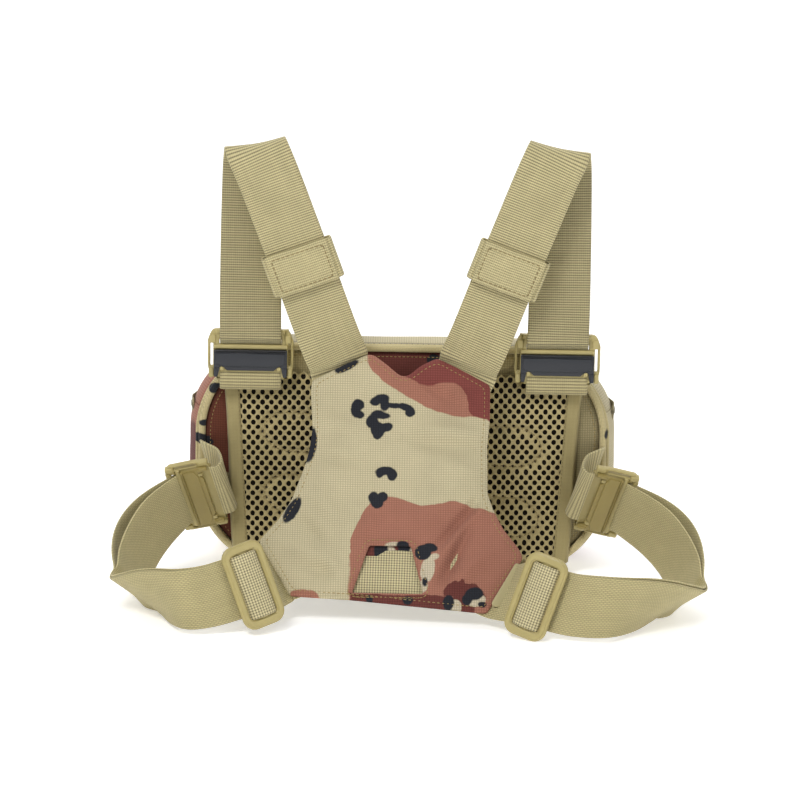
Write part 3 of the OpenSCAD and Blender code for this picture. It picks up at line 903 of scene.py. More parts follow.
def make_shell():
    shell_piece("pack_shell", "main", BODY_CAMO, "pack", ["main_shell"])
    shell_piece("pack_lining", "main", LINING, "pack", ["lining"], 0.6, 3.0)
    shell_piece("lid_skin", "lid", BODY_CAMO, "lid", ["lid_shell"])
    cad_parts["frame_sheet"].data.materials.clear()
    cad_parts["frame_sheet"].data.materials.append(SHEET_PLASTIC)


def flat_ring(w, h, r, y, z, count=220):
    p = ring(w, h, r, z, count)
    return np.column_stack([p[:, 0], np.full(len(p), y), p[:, 1]])


def make_rear_panel():
    """Camo cloth from the rear piping forward to the back pad's edge."""
    sizes = ((247.5, 139, 53.5, -38.4, 4.0), (245, 137, 52.5, -39.7, 5.0), (240, 132, 50, -40.9, 7.4),
             (232, 125, 46, -41.6, 11), (224, 119, 42, -41.9, 14), (200, 100, 34, -41.9, 24),
             (120, 50, 20, -41.9, 50))
    rings = [flat_ring(*size) for size in sizes]
    verts, faces = loft(rings, True, False)
    n = np.tile([0.0, -1.0, 0.0], (len(verts), 1))
    verts = puff(verts, n, 0.35, 0.11, 2.0)
    faces = [tuple(reversed(f)) for f in faces]
    piece("rear_cloth", verts * MM, faces, REAR_CAMO, "pack", ["rear_panel"])
    lines = []
    loop = flat_ring(240.5, 132.5, 50.2, -41.0, 7.2, 400)
    lines.append((np.vstack([loop, loop[:1]]), (0, -1, 0)))
    verts, faces = stitch_mesh(lines, 2.6, 1.9, 0.24)
    piece("rear_cloth_stitches", verts, faces, THREAD, "pack", flat=False)


def piping(name, w, h, r, y, z, material, body, replaces, radius=2.3, keep=None):
    """Corded edging round a rounded rectangle. keep picks points by height."""
    path = flat_ring(w, h, r, y, z, 320)
    if keep:
        mask = [keep(p) for p in path]
        start = next(i for i in range(len(path)) if mask[i] and not mask[i - 1])
        order = [(start + i) % len(path) for i in range(len(path))]
        path = np.array([path[i] for i in order if mask[i]])
    verts, faces, uv = tube_mesh(path, radius, 12, keep is None)
    piece(name, verts, faces, material, body, replaces, uv)


def make_piping():
    """Tan cord in a cloth tube on both outlines, printed here and there by the camo cloth."""
    piping("rear_piping_cord", 251, 143, 54.6, -41.0, 1.9, TAN_EDGE, "pack", ["rear_piping"],
           2.2)
    piping("rear_piping_outer", 256.4, 145.2, 57.4, -38.4, 0.5, TAN_EDGE, "pack", [], 1.5)
    w, h, r = 229, 120, 48
    piping("front_piping_cord", w, h, r, 39.6, 1.9, TAN_EDGE, "pack", ["front_piping"], 2.0,
           lambda p: p[2] < LID_Z - 0.6)
    piping("lid_piping_cord", w, h, r, 39.6, 1.9, TAN_EDGE, "lid", ["lid_piping"], 2.0,
           lambda p: p[2] > LID_Z + 0.6)


# ---------------------------------------------------------------- back pad

PAD_Y = -47.3
PAD_LOW, PAD_HIGH = 12.5, 127.5
NECK_HALF, NECK_Z = 44.0, 122.5   # the pad ends lower under the yoke's neckline


def pad_half(z):
    """Half the mesh's width: the pad narrows towards its bottom."""
    return 96.5 + (z - PAD_LOW) / (PAD_HIGH - PAD_LOW) * 6.5


OVALS = [(87.5, 0.052, 70.0), (44.5, 0.090, 69.0)]   # quilted ovals: middle height, slant, half length
OVAL_X, OVAL_Z = 17.0, 12.6


def oval_distance(x, z, cz, slant, half):
    """About the distance (mm) from a quilted oval's outline, squashed at its ends."""
    dx = np.maximum(np.abs(x) - half, 0) * OVAL_Z / OVAL_X
    return np.abs(np.sqrt(dx ** 2 + (z - cz + slant * x) ** 2) - OVAL_Z)


def pad_swell(x, z):
    """How far the mesh stands out beyond PAD_Y (mm, towards the wearer)."""
    side = np.clip((pad_half(z) - np.abs(x)) / 14.0, 0, 1)
    ends = np.clip(np.minimum(z - PAD_LOW, PAD_HIGH - z) / 12.0, 0, 1)
    crown = 2.6 * np.sqrt(np.clip(side * (2 - side), 0, 1)) * np.sqrt(np.clip(ends * (2 - ends), 0, 1))
    groove = np.minimum(*(oval_distance(x, z, *oval) for oval in OVALS))
    return crown - 3.1 * np.exp(-(groove / 2.4) ** 2) - 1.4


def make_mesh():
    """Spacer mesh with real holes, in staggered rows, over a backing sheet whose near-black colour is
    painted shade seen through the holes.
    """
    pitch_x, pitch_z = 5.6, 3.28
    verts, faces = [], []
    rows = int((PAD_HIGH - PAD_LOW) / pitch_z)
    index = {}

    def corner(x, z):
        key = (round(x, 2), round(z, 2))
        if key not in index:
            index[key] = len(verts)
            verts.append((x, z, 0.22))
        return index[key]

    for row in range(rows + 1):
        z = PAD_LOW + row * pitch_z
        start = -110 + (row % 2) * pitch_x / 2
        for column in range(int(220 / pitch_x) + 1):
            x = start + column * pitch_x
            if abs(x) > pad_half(z) + 1.5 or (abs(x) < NECK_HALF and z > NECK_Z - 1.5):
                continue
            hexagon = [corner(x + dx * pitch_x / 2, z + dz * pitch_z)
                       for dx, dz in ((1, -1 / 3), (1, 1 / 3), (0, 1), (-1, 1 / 3), (-1, -1 / 3), (0, -1))]
            gap = min(float(oval_distance(x, z, *oval)) for oval in OVALS)
            pinch = 1 - 0.45 * math.exp(-(gap / 2.0) ** 2)
            wide, tall = pinch * (1.60 + rng.uniform(-0.1, 0.1)), pinch * (1.92 + rng.uniform(-0.12, 0.12))
            loops = []
            for depth, grow in ((0.0, 1.0), (-0.35, 0.9), (-1.5, 1.02)):
                loop = []
                for k in range(12):
                    a = math.radians(-30 + 30 * k)
                    loop.append(len(verts))
                    verts.append((x + wide * grow * math.cos(a), z + tall * grow * math.sin(a), depth))
                loops.append(loop)
            for k in range(6):
                a, b = hexagon[k], hexagon[(k + 1) % 6]
                h = loops[0]
                faces.append((a, b, h[(2 * k + 2) % 12], h[2 * k + 1], h[2 * k]))
            for near, far in ((loops[0], loops[1]), (loops[1], loops[2])):
                for k in range(12):
                    n = (k + 1) % 12
                    faces.append((near[k], near[n], far[n], far[k]))
    flat = np.array(verts)
    x, z = flat[:, 0], flat[:, 1]
    y = PAD_Y - pad_swell(x, z) - flat[:, 2]
    place = np.column_stack([x, y, z])
    piece("pad_mesh", place * MM, faces, MESH, "pack", ["back_mesh"])
    # Backing sheet just behind the holes; its near-black colour is painted shade.
    grid_x = np.linspace(-1, 1, 90)
    grid_z = np.linspace(PAD_LOW - 0.5, PAD_HIGH + 0.5, 52)
    back = []
    for gz in grid_z:
        gx = grid_x * (pad_half(gz) + 1)
        at = np.where(np.abs(gx) < NECK_HALF, min(gz, NECK_Z), gz)
        back.append(np.column_stack([gx, PAD_Y - pad_swell(gx, at) + 2.0, at]))
    verts = np.vstack(back)
    faces = [(i * 90 + j, i * 90 + j + 1, (i + 1) * 90 + j + 1, (i + 1) * 90 + j)
             for i in range(51) for j in range(89)]
    piece("pad_backing", verts * MM, faces, MESH_BACK_SHADE, "pack", [])
    lines = []
    for cz, slant, half in OVALS:
        a = np.linspace(-math.pi / 2, math.pi / 2, 30)
        loop = [(half + OVAL_X * math.cos(t), cz + OVAL_Z * math.sin(t)) for t in a]
        loop += [(-half - OVAL_X * math.cos(t), cz - OVAL_Z * math.sin(t)) for t in a]
        loop = resample(np.array([(px, pz - slant * px) for px, pz in loop]), 1.0, True)
        path = np.column_stack([loop[:, 0], PAD_Y - pad_swell(loop[:, 0], loop[:, 1]) - 0.35, loop[:, 1]])
        lines.append((path, (0, -1, 0)))
    verts, faces = stitch_mesh(lines, 2.7, 2.1, 0.3)
    piece("pad_stitches", verts, faces, THREAD_DARK, "pack")


def make_foam():
    """Foam under the mesh, seen only at its edge."""
    rings = []
    for y, inset in ((PAD_Y + 3.4, 0.0), (PAD_Y + 3.0, -0.5), (-41.9, -0.5)):
        zs = [PAD_LOW - inset, PAD_HIGH + inset]
        pts = []
        for z, s in ((zs[0], -1), (zs[0], 1), (zs[1], 1), (zs[1], -1)):
            pts.append((s * (pad_half(z) + inset), z))
        loop = resample(np.array(pts), 4.0, True)
        rings.append(loop)
    count = min(len(r) for r in rings)
    verts = []
    for loop, y in zip(rings, (PAD_Y + 3.4, PAD_Y + 3.0, -41.9)):
        full = np.vstack([loop, loop[:1]])
        at = np.linspace(0, len(loop), count, endpoint=False)
        p = np.stack([np.interp(at, range(len(full)), full[:, k]) for k in range(2)], axis=1)
        verts.append(np.column_stack([p[:, 0], np.full(count, y), p[:, 1]]))
    verts, faces = loft(verts, False, True)
    foam = piece("pad_foam", verts * MM, faces, FOAM, "pack", ["back_foam"])


def make_bindings():
    """Tape folded over the pad's edges: wide and slanting at the sides, with stitching."""
    for side, sign in SIDES.items():
        z = np.linspace(9.0, 129.0, 60)
        inner = np.array([pad_half(v) - 0.5 for v in z])
        t = np.linspace(0, 1, 13)
        rows = []
        for zi, xi in zip(z, inner):
            width = 9.6 + 0.5 * math.sin(zi * 0.05)
            swell = float(pad_swell(np.array([xi]), np.array([min(max(zi, PAD_LOW), PAD_HIGH)]))[0])
            for k in t:
                edge = 1.6 * (1 - (2 * k - 1) ** 8)
                lean = -0.4 + 1.9 * (1 - k) ** 2
                y = PAD_Y - swell - 0.6 - edge * 0.6 + 0.9 - lean * 0.3 + 2.6 * max(0, k - 0.86) / 0.14
                y += 0.25 * math.sin(zi * 0.21 + 5 * k)
                rows.append((-(xi + k * width), y, zi))
            rows.append((-(xi + width + 0.1), -42.0, zi))
        n = len(t) + 1
        faces = [(i * n + j, (i + 1) * n + j, (i + 1) * n + j + 1, i * n + j + 1)
                 for i in range(len(z) - 1) for j in range(n - 1)]
        verts = mirrored(np.array(rows), sign) * MM
        uv = [((k if k < len(t) else len(t)) / len(t) * 0.010, zi * MM) for zi in z for k in range(n)]
        piece("pad_binding_" + side, verts, turned(faces, sign), BINDING, "pack", ["mesh_binding_" + side],
              uv)
        path = np.array([rows[i * n + 1] for i in range(len(z))]) + (0, -0.15, 0)
        verts, faces = stitch_mesh([(mirrored(path, sign), (0, -1, 0))], 2.5, 1.8, 0.24)
        piece("pad_binding_stitches_" + side, verts, faces, THREAD_DARK, "pack")


def piping_cloth():
    """Tan edging cloth with a few dark printed marks where the pattern runs onto it."""
    net = Net("piping_cloth", 0.86, 0.15, 0.15)
    at = net.place()
    mm = net.vector("SCALE", at)
    mm.inputs["Scale"].default_value = 1000.0
    x, _, z = net.parts(net.wobble(mm.outputs[0], 0.2, 1.5))
    flat = net.pack(x, z)
    marks = net.blobs(flat, [
        (-117, 118, 4.5, 3.2, 20), (-124, 95.5, 3.4, 2.0), (-127, 85.5, 5.0, 3.4), (-128, 62, 4, 3),
        (116, 15, 4.4, 2.8, 30), (60, 144, 4, 3), (127.5, 92, 1.2, 3.0), (-40, 2, 5, 3),
        (70, 2, 5, 3), (100, 132, 4, 2)])
    colour = paint(net, shade(200, 186, 140), marks, PEBBLE)
    x, y, z = net.parts(at)
    level, normal = cloth_grain(net, net.math("ADD", x, y), z, 0.0009)
    return net.done(net.dim(colour, level), normal)


TAN_EDGE = piping_cloth()


# ---------------------------------------------------------------- yoke

YOKE_TOP = np.array([0, -62, 137.0])
YOKE_UP = unit([0, 0.597, 0.802])
YOKE_OUT = unit(np.cross([1, 0, 0], YOKE_UP))
YOKE_SHRINK = 0.966
YOKE_OUTLINE = [
    (-56.5, 10), (-22, -8), (-18, -7), (-9.5, 0), (-3, 5.5), (0, 6.5), (3.5, 5.5), (10.5, -0.5), (20.5, -6),
    (53.5, 11), (53.5, 33), (52, 52), (52.5, 84), (56.5, 96), (62.5, 108), (71.5, 120), (74.5, 126.5),
    (52.5, 164), (-29, 156.5), (-66.5, 154.5), (-86.5, 118.5), (-75, 104), (-67, 90), (-59.5, 67), (-57, 56),
    (-55.5, 42), (-57, 16)]
YOKE_WINDOW = [(-19.5, 119.5), (6.5, 119.5), (14.5, 152), (-29.5, 152)]
FOLDS = [  # x, down, x, down, height, width of each crease or swell, mm
    (50, 84, 22, 121, -3.4, 3.2), (45, 98, 28, 140, -2.9, 3.4), (54, 90, 34, 112, 2.0, 3.8),
    (37, 110, 22, 134, 1.9, 4.0), (-54, 60, -22, 66, -1.6, 4.5), (-55, 84, -34, 108, 1.9, 5.5),
    (-64, 100, -44, 124, -2.0, 4.5), (0, 50, 50, 54, -2.2, 5.5), (2, 41, 48, 43, 1.7, 6.0),
    (-70, 122, -40, 134, 1.7, 6.0), (-60, 134, -34, 142, -1.6, 4.5), (8, 8, 32, 22, -1.7, 3.4),
    (-20, 4, -32, 28, 1.2, 4.5), (54, 122, 30, 148, 1.7, 5.0), (-16, 98, -24, 118, 1.4, 4.5),
    (-50, 36, -28, 40, 1.2, 4.5), (20, 66, 50, 70, 1.4, 5.5), (36, 120, 22, 150, -1.9, 3.6),
    (-50, 110, -36, 150, 1.6, 5.0), (30, 14, 44, 26, 1.4, 4.0)]


def soften(points, pitch, rounds):
    """Closed outline spaced evenly, with its corners rounded a little."""
    p = resample(np.array(points, float), pitch, True)
    for _ in range(rounds):
        p = (np.roll(p, 1, axis=0) + 2 * p + np.roll(p, -1, axis=0)) / 4
    return p


def shifted(loop, distance):
    """A closed loop moved to its left by a distance (mm)."""
    tangent = np.roll(loop, -1, axis=0) - np.roll(loop, 1, axis=0)
    tangent /= np.linalg.norm(tangent, axis=1)[:, None]
    return loop + distance * np.column_stack([-tangent[:, 1], tangent[:, 0]])


def inside(points, loop):
    """Which points lie inside a closed loop."""
    p, hit = np.asarray(points), np.zeros(len(points), bool)
    for a, b in zip(loop, np.roll(loop, -1, axis=0)):
        cross = (a[1] > p[:, 1]) != (b[1] > p[:, 1])
        slope = (b[0] - a[0]) / (b[1] - a[1]) if b[1] != a[1] else 0.0
        hit ^= cross & (p[:, 0] < a[0] + (p[:, 1] - a[1]) * slope)
    return hit


def nearest(points, loop):
    """Distance from each point to the closest point of a finely sampled loop."""
    return np.sqrt(((points[:, None, :] - loop[None, :, :]) ** 2).sum(axis=2)).min(axis=1)


def yoke_height(points):
    """Creases and swells of the yoke's face (mm)."""
    x, s = points[:, 0], points[:, 1]
    height = np.zeros(len(points))
    for x0, s0, x1, s1, rise, width in FOLDS:
        run = np.array([x1 - x0, s1 - s0], float)
        t = np.clip(((x - x0) * run[0] + (s - s0) * run[1]) / (run @ run), 0, 1)
        away = np.hypot(x - x0 - t * run[0], s - s0 - t * run[1])
        taper = np.sin(np.pi * np.clip(t * 0.84 + 0.08, 0, 1))
        height += 1.5 * rise * taper * np.exp(-(away / width) ** 2)
    height += 0.28 * np.sin(x * 0.11 + 1.3 * np.sin(s * 0.09)) + 0.22 * np.sin(s * 0.14 + x * 0.05)
    return height


YOKE_EDGE = soften(YOKE_OUTLINE, 1.0, 5)
WINDOW_EDGE = soften(YOKE_WINDOW, 1.0, 3)


def yoke_face(points, back=False):
    """Height of the front or back face over the yoke's plane (mm)."""
    edge = nearest(points, YOKE_EDGE)
    hole = nearest(points, WINDOW_EDGE)
    near = np.minimum(edge, hole)
    roll = np.clip(1 - near / 2.4, 0, 1) ** 2
    creases = yoke_height(points) * np.clip((near - 1.0) / 9.0, 0, 1)
    if back:
        return -3.7 + 1.2 * roll + creases * 0.6
    seam = 0.55 * np.exp(-((near - 3.3) / 0.75) ** 2) + 0.3 * np.exp(-((hole - 3.0) / 1.0) ** 2)
    return 0.2 - 1.5 * roll - seam + creases


def yoke_place(points, height):
    """Points (across, down) on the yoke's plane, raised by a height, all in mm."""
    down = points[:, 1:2] * YOKE_SHRINK
    height = height + 6.0 * np.clip((34 - points[:, 1]) / 34.0, 0, 1) ** 1.5
    return YOKE_TOP + points[:, :1] * np.array([1.0, 0, 0]) - down * YOKE_UP + height[:, None] * YOKE_OUT


def make_yoke():
    """Face, back and edge of the yoke, its window and its stitching."""
    low, high = YOKE_EDGE.min(axis=0), YOKE_EDGE.max(axis=0)
    grid = []
    pitch = 1.9
    for i, s in enumerate(np.arange(low[1], high[1], pitch * 0.87)):
        for x in np.arange(low[0] + (i % 2) * pitch / 2, high[0], pitch):
            grid.append((x, s))
    grid = np.array(grid)
    keep = inside(grid, YOKE_EDGE) & ~inside(grid, WINDOW_EDGE)
    grid = grid[keep]
    clear = np.minimum(nearest(grid, YOKE_EDGE), nearest(grid, WINDOW_EDGE)) > 0.9
    grid = grid[clear]
    rim = len(YOKE_EDGE)
    hole = len(WINDOW_EDGE)
    points = np.vstack([YOKE_EDGE, WINDOW_EDGE, grid])
    edges = [(i, (i + 1) % rim) for i in range(rim)]
    edges += [(rim + i, rim + (i + 1) % hole) for i in range(hole)]
    out = delaunay_2d_cdt([Vector(p) for p in points], edges, [], 0, 1e-5)
    flat = np.array([tuple(v) for v in out[0]])
    triangles = np.array([f for f in out[2]])
    middle = flat[triangles].mean(axis=1)
    good = inside(middle, YOKE_EDGE) & ~inside(middle, WINDOW_EDGE)
    triangles = triangles[good]
    first, second, third = flat[triangles.T]
    area = np.cross(second - first, third - first)
    triangles[area > 0] = triangles[area > 0][:, ::-1]
    uv = flat * MM
    front = yoke_place(flat, yoke_face(flat))
    piece("yoke_face", front * MM, triangles.tolist(), YOKE_CAMO, "harness", ["yoke_panel", "yoke_foam"],
          uv)
    behind = yoke_place(flat, yoke_face(flat, True))
    piece("yoke_back", behind * MM, triangles[:, ::-1].tolist(), YOKE_BACK, "harness", ["yoke_lining"],
          uv)
    verts, faces, uvs = [], [], []
    for loop in (YOKE_EDGE, WINDOW_EDGE):
        base, count = len(verts), len(loop)
        top, bottom = yoke_face(loop), yoke_face(loop, True)
        for k, t in enumerate((0.0, 0.3, 0.7, 1.0)):
            bulge = 0.5 * math.sin(math.pi * t)
            wide = shifted(loop, bulge)
            verts += list(yoke_place(wide, top + (bottom - top) * t))
            uvs += list(wide * MM)
        faces += [(base + k * count + j, base + k * count + (j + 1) % count,
                   base + (k + 1) * count + (j + 1) % count, base + (k + 1) * count + j)
                  for k in range(3) for j in range(count)]
    piece("yoke_rim", np.array(verts) * MM, faces, YOKE_CAMO, "harness", [], uvs)
    lines = []
    for loop, away in ((YOKE_EDGE, 3.4), (WINDOW_EDGE, 3.0)):
        for side in (1, -1):
            path = shifted(loop, side * away)
            if inside(path, YOKE_EDGE).mean() > 0.9 and inside(path, WINDOW_EDGE).mean() < 0.1:
                path = soften(path, 1.0, 6)
                place = yoke_place(path, yoke_face(path) + 0.10)
                lines.append((np.vstack([place, place[:1]]), YOKE_OUT))
    hem = np.column_stack([np.linspace(-27, 13, 40), np.full(40, 154.8)])
    lines.append((yoke_place(hem, yoke_face(hem) + 0.1), YOKE_OUT))
    verts, faces = stitch_mesh(lines, 2.9, 2.1, 0.26)
    piece("yoke_stitches", verts, faces, THREAD, "harness")


def make_bridge():
    """Webbing across the yoke's window, and the blank tag at the yoke's edge."""
    edges = []
    for x in np.linspace(-47, 35, 12):
        pair = np.array([[x, 122.6 + 0.01 * x], [x, 152.2 + 0.03 * x]])
        depth = np.full(2, -4.2 - 1.2 * abs(math.sin(x * 0.03)))
        edges.append(yoke_place(pair, depth).tolist())
    verts, faces, uv = ribbon_mesh(edges, 30, 1.4, 4, 10)
    piece("window_webbing", verts, faces, WEB_GRID, "harness", ["yoke_bridge"], uv)
    strip = np.array([(x, s) for s in np.linspace(112, 126, 8) for x in np.linspace(-27, 15, 22)])
    faces = [(i * 22 + j, i * 22 + j + 1, (i + 1) * 22 + j + 1, (i + 1) * 22 + j)
             for i in range(7) for j in range(21)]
    behind = yoke_place(strip, np.full(len(strip), -3.3) - 0.05 * (strip[:, 1] - 112))
    piece("window_backing", behind * MM, faces, YOKE_CAMO, "harness", [],
          (strip * (0.8, 0.55) + (39, 90)) * MM)
    outline = soften([(70.0, 130.5), (73.2, 132.0), (75.0, 136.5), (73.0, 147), (66.5, 156.5),
                      (58.5, 161.0), (55.0, 158.5)], 1.0, 4)
    count = len(outline)
    centre = outline.mean(axis=0)
    rings = []
    for scale, rise in ((1.0, 0.5), (1.0, 1.0), (0.93, 1.35), (0.5, 1.45)):
        p = centre + (outline - centre) * scale
        rings.append(yoke_place(p, np.full(count, rise)))
    verts, faces = loft(rings, True, True)
    piece("blank_tag", verts * MM, faces, TAG, "harness", ["yoke_tag"],
          [(0.0, 0.0)] * len(verts))


# ---------------------------------------------------------------- straps

def shoulder_pairs():
    return [
        [[-114, -52.8, 140], [-76, -52.8, 140]], [[-114, -53.2, 146], [-76, -53.2, 146]],
        [[-114, -55.6, 150], [-76, -55.6, 150]], [[-114, -59.4, 153.6], [-76, -59.4, 153.6]],
        [[-114, -60.2, 158], [-76, -60.2, 158]], [[-114.2, -59.2, 176], [-76.2, -58.8, 176]],
        [[-114, -59.4, 200], [-76, -58.6, 200]], [[-113.6, -60, 230], [-75.6, -59.6, 232]],
        [[-113, -60, 258], [-75, -60, 261]], [[-112, -62.6, 270], [-74.5, -62.8, 276]],
        [[-111, -69, 276], [-74, -69, 283]], [[-108, -75, 271], [-72, -75, 281]],
        [[-101.5, -77, 254], [-65.5, -77, 267]], [[-90.5, -74.8, 223.5], [-54.5, -74.8, 236.5]],
        [[-79.5, -72.5, 193], [-43.5, -72.5, 206]], [[-68.5, -70.2, 162.5], [-32.5, -70.2, 175.5]],
        [[-62.5, -70.5, 147.5], [-27.5, -68.0, 161.5]], [[-57.9, -68.6, 136.2], [-23.2, -62.6, 150.6]],
        [[-56.05, -67.3, 129.9], [-22.35, -59.0, 144.0]], [[-51.4, -71.0, 121.8], [-17.8, -62.5, 135.9]]]


SIDE_START = [[[-135.6, -68.4, 69.2], [-126.1, -53.4, 35.7]], [[-140.5, -68, 68], [-131, -53, 34.5]]]
SIDE_END = {   # edges of the straight run, from the front of the turn through the adjuster to the yoke
    "left": [[[-133, -178, 39.8], [-128, -177, 3.5]], [[-119.5, -174.5, 41.5], [-110, -177.5, 5.1]],
             [[-104.7, -167, 44.2], [-89.3, -171, 9.8]], [[-88.2, -158, 46.2], [-73.8, -162, 11.8]],
             [[-83.8, -131.2, 40.3], [-67.2, -151.6, 12.9]], [[-74.8, -128.6, 43.9], [-58.2, -149, 16.5]]],
    "right": [[[-131, -179, 39.8], [-126, -178, 3.5]], [[-112, -174.5, 39.5], [-102, -178.5, 3.6]],
              [[-97.5, -167, 40.2], [-84.5, -173, 5.8]], [[-81.5, -160, 42.2], [-68.5, -166, 7.8]],
              [[-68.5, -135.6, 34.5], [-52.1, -156, 7.1]], [[-59.4, -133, 38], [-43, -153.4, 10.6]]]}
HALF_STRAP = 19.0
TURN_REACH = {"left": 31.0, "right": 43.0}   # how far the turn swings out past its two ends
TURN_LEAN = 46.0       # degrees that the strap leans over further in the middle of its turn
TURN_DROP = 72.0       # fall of the strap's middle, if the floor didn't stop it
FLOOR_GAP = 2.5


def side_turn(side):
    """Edges of the side strap's turn: out and down from the buckle, over on the floor, then upright."""
    begin, end = np.mean(SIDE_START[-1], axis=0), np.mean(SIDE_END[side][0], axis=0)
    pairs = []
    for t in np.linspace(0, 1, 8)[1:-1]:
        x, y, _ = begin + (end - begin) * t
        lean = math.radians(28 - 23 * t + TURN_LEAN * math.sin(math.pi * t ** 1.2))
        heading = math.radians(35 + 55 * t)
        z = max(begin[2] - TURN_DROP * t, HALF_STRAP * math.cos(lean) + FLOOR_GAP)
        middle = np.array([x - TURN_REACH[side] * math.sin(math.pi * t) ** 0.8, y, z])
        half = HALF_STRAP * np.array([-math.cos(heading) * math.sin(lean),
                                      -math.sin(heading) * math.sin(lean), math.cos(lean)])
        pairs.append([(middle + half).tolist(), (middle - half).tolist()])
    return pairs


SLACK_RUN = 95.0   # the outer layer stands off the inner one over this length
SLACK_RISE = 7.5   # and by this much in the middle of it


def strap_wave(size, length, phase):
    """Gentle lengthwise and crosswise unevenness of a webbing run, in mm."""
    return lambda run, x: size * (math.sin(run / length + phase) * 0.6
                                  + np.sin(x * 0.12 + run * 0.03 + phase) * 0.25)


def make_shoulder(side, sign):
    pairs = [[[x, y, z - 3.2 * max(0.0, (z - 205) / 75)] for x, y, z in pair] for pair in shoulder_pairs()]
    wave = strap_wave(0.5, 17.0, 0.4 if sign > 0 else 2.1)
    verts, faces, uv = ribbon_mesh(pairs, 38, 1.5, 10, 16, 0.0, wave)
    piece("shoulder_webbing_" + side, mirrored(verts, sign), turned(faces, sign), WEB_RIB, "harness",
          ["shoulder_strap_" + side], uv)
    wave = strap_wave(0.3, 19.0, 1.0 if sign > 0 else 2.9)
    verts, faces, uv = ribbon_mesh(pairs[5:15], 37.6, 1.4, 10, 16, 1.75, wave)
    piece("shoulder_tail_" + side, mirrored(verts, sign), turned(faces, sign), WEB_RIB, "harness", [],
          uv)


def make_side_strap(side, sign):
    pairs = SIDE_START + side_turn(side) + SIDE_END[side]
    phase = 0.3 if sign > 0 else 1.7
    verts, faces, uv = ribbon_mesh(pairs, 38, 1.5, 10, 16, 0.85, strap_wave(0.5, 21.0, phase))
    piece("side_webbing_" + side, mirrored(verts, sign), turned(faces, sign), WEB_BASKET, "harness",
          ["side_strap_" + side], uv)
    wave = strap_wave(0.5, 18.0, phase + 0.8)

    def slack(run, x):
        return wave(run, x) - 0.3 - SLACK_RISE * math.sin(math.pi * min(1.0, run / SLACK_RUN)) ** 2

    verts, faces, uv = ribbon_mesh(pairs[:-2], 37.5, 1.4, 10, 16, -0.85, slack)
    piece("side_tail_" + side, mirrored(verts, sign), turned(faces, sign), WEB_BASKET, "harness", [],
          uv)


TAB_PAIRS = [
    [[-125.2, -44.5, 84.5], [-119.2, -38.5, 47.5]], [[-122.7, -50.8, 84.8], [-115.7, -42.8, 48.2]],
    [[-116.2, -58.3, 83.1], [-107.8, -47.3, 46.9]], [[-113.2, -66.3, 80.0], [-103.8, -53.3, 44.0]],
    [[-115.3, -71.5, 77.0], [-105.0, -56.5, 41.0]], [[-120.3, -72.0, 75.5], [-109.8, -56.5, 39.5]]]


def make_tab(side, sign):
    verts, faces, uv = ribbon_mesh(TAB_PAIRS, 38, 1.5, 10, 14, 0.0, strap_wave(0.25, 13.0, 0.5))
    piece("side_tab_webbing_" + side, mirrored(verts, sign), turned(faces, sign), WEB, "pack",
          ["side_tab_" + side], uv)


def make_top_loop(side, sign):
    """Folded webbing below the top buckle, sewn into the pack's upper seam."""
    path = [(-44.5, 136.5), (-48.5, 135.2), (-52.2, 134.4), (-54.8, 133.6), (-56.4, 131.6), (-56.9, 128.0),
            (-56.4, 124.0), (-54.6, 121.4), (-51.8, 121.0), (-50.0, 122.8), (-49.6, 126)]
    pairs = [[[-114, y, z], [-76, y, z]] for y, z in path]
    verts, faces, uv = ribbon_mesh(pairs, 38, 1.5, 5, 14, 0.0)
    piece("top_loop_webbing_" + side, mirrored(verts, sign), turned(faces, sign), WEB_LOOP, "pack",
          ["buckle_loop_" + side], uv)


# ---------------------------------------------------------------- buckles, keepers, adjusters

TOP_AXES = local_axes((-95, -57, 147), (0, 0, -1), (1, 0, 0))
SIDE_AXES = local_axes((-132.5, -61, 52), (0.968, -0.085, 0.237), (-0.25, -0.40, 0.88))
SLIDER_AXES = {"left": local_axes((-90.3, -166.3, 27.8), (0.844, 0.427, 0.243), (-0.503, 0.100, 0.886)),
               "right": local_axes((-83.5, -167.2, 24), (0.872, 0.368, 0.243), (-0.475, 0.110, 0.898))}
SLIDER_LIFT = 3.8
KEEPER_AXES = local_axes((-63.0, -72.8, 203.6), (36, 0, 13), unit((-22, -4.5, 61)))


def bar(name, x0, y0, x1, y1, z0, z1, axes, sign, bevel=0.5):
    corner = min(abs(x1 - x0), abs(y1 - y0)) * 0.3
    return plate_object(name, [rounded_loop(x0, y0, x1, y1, corner)], z1 - z0, bevel, axes, sign, z0)


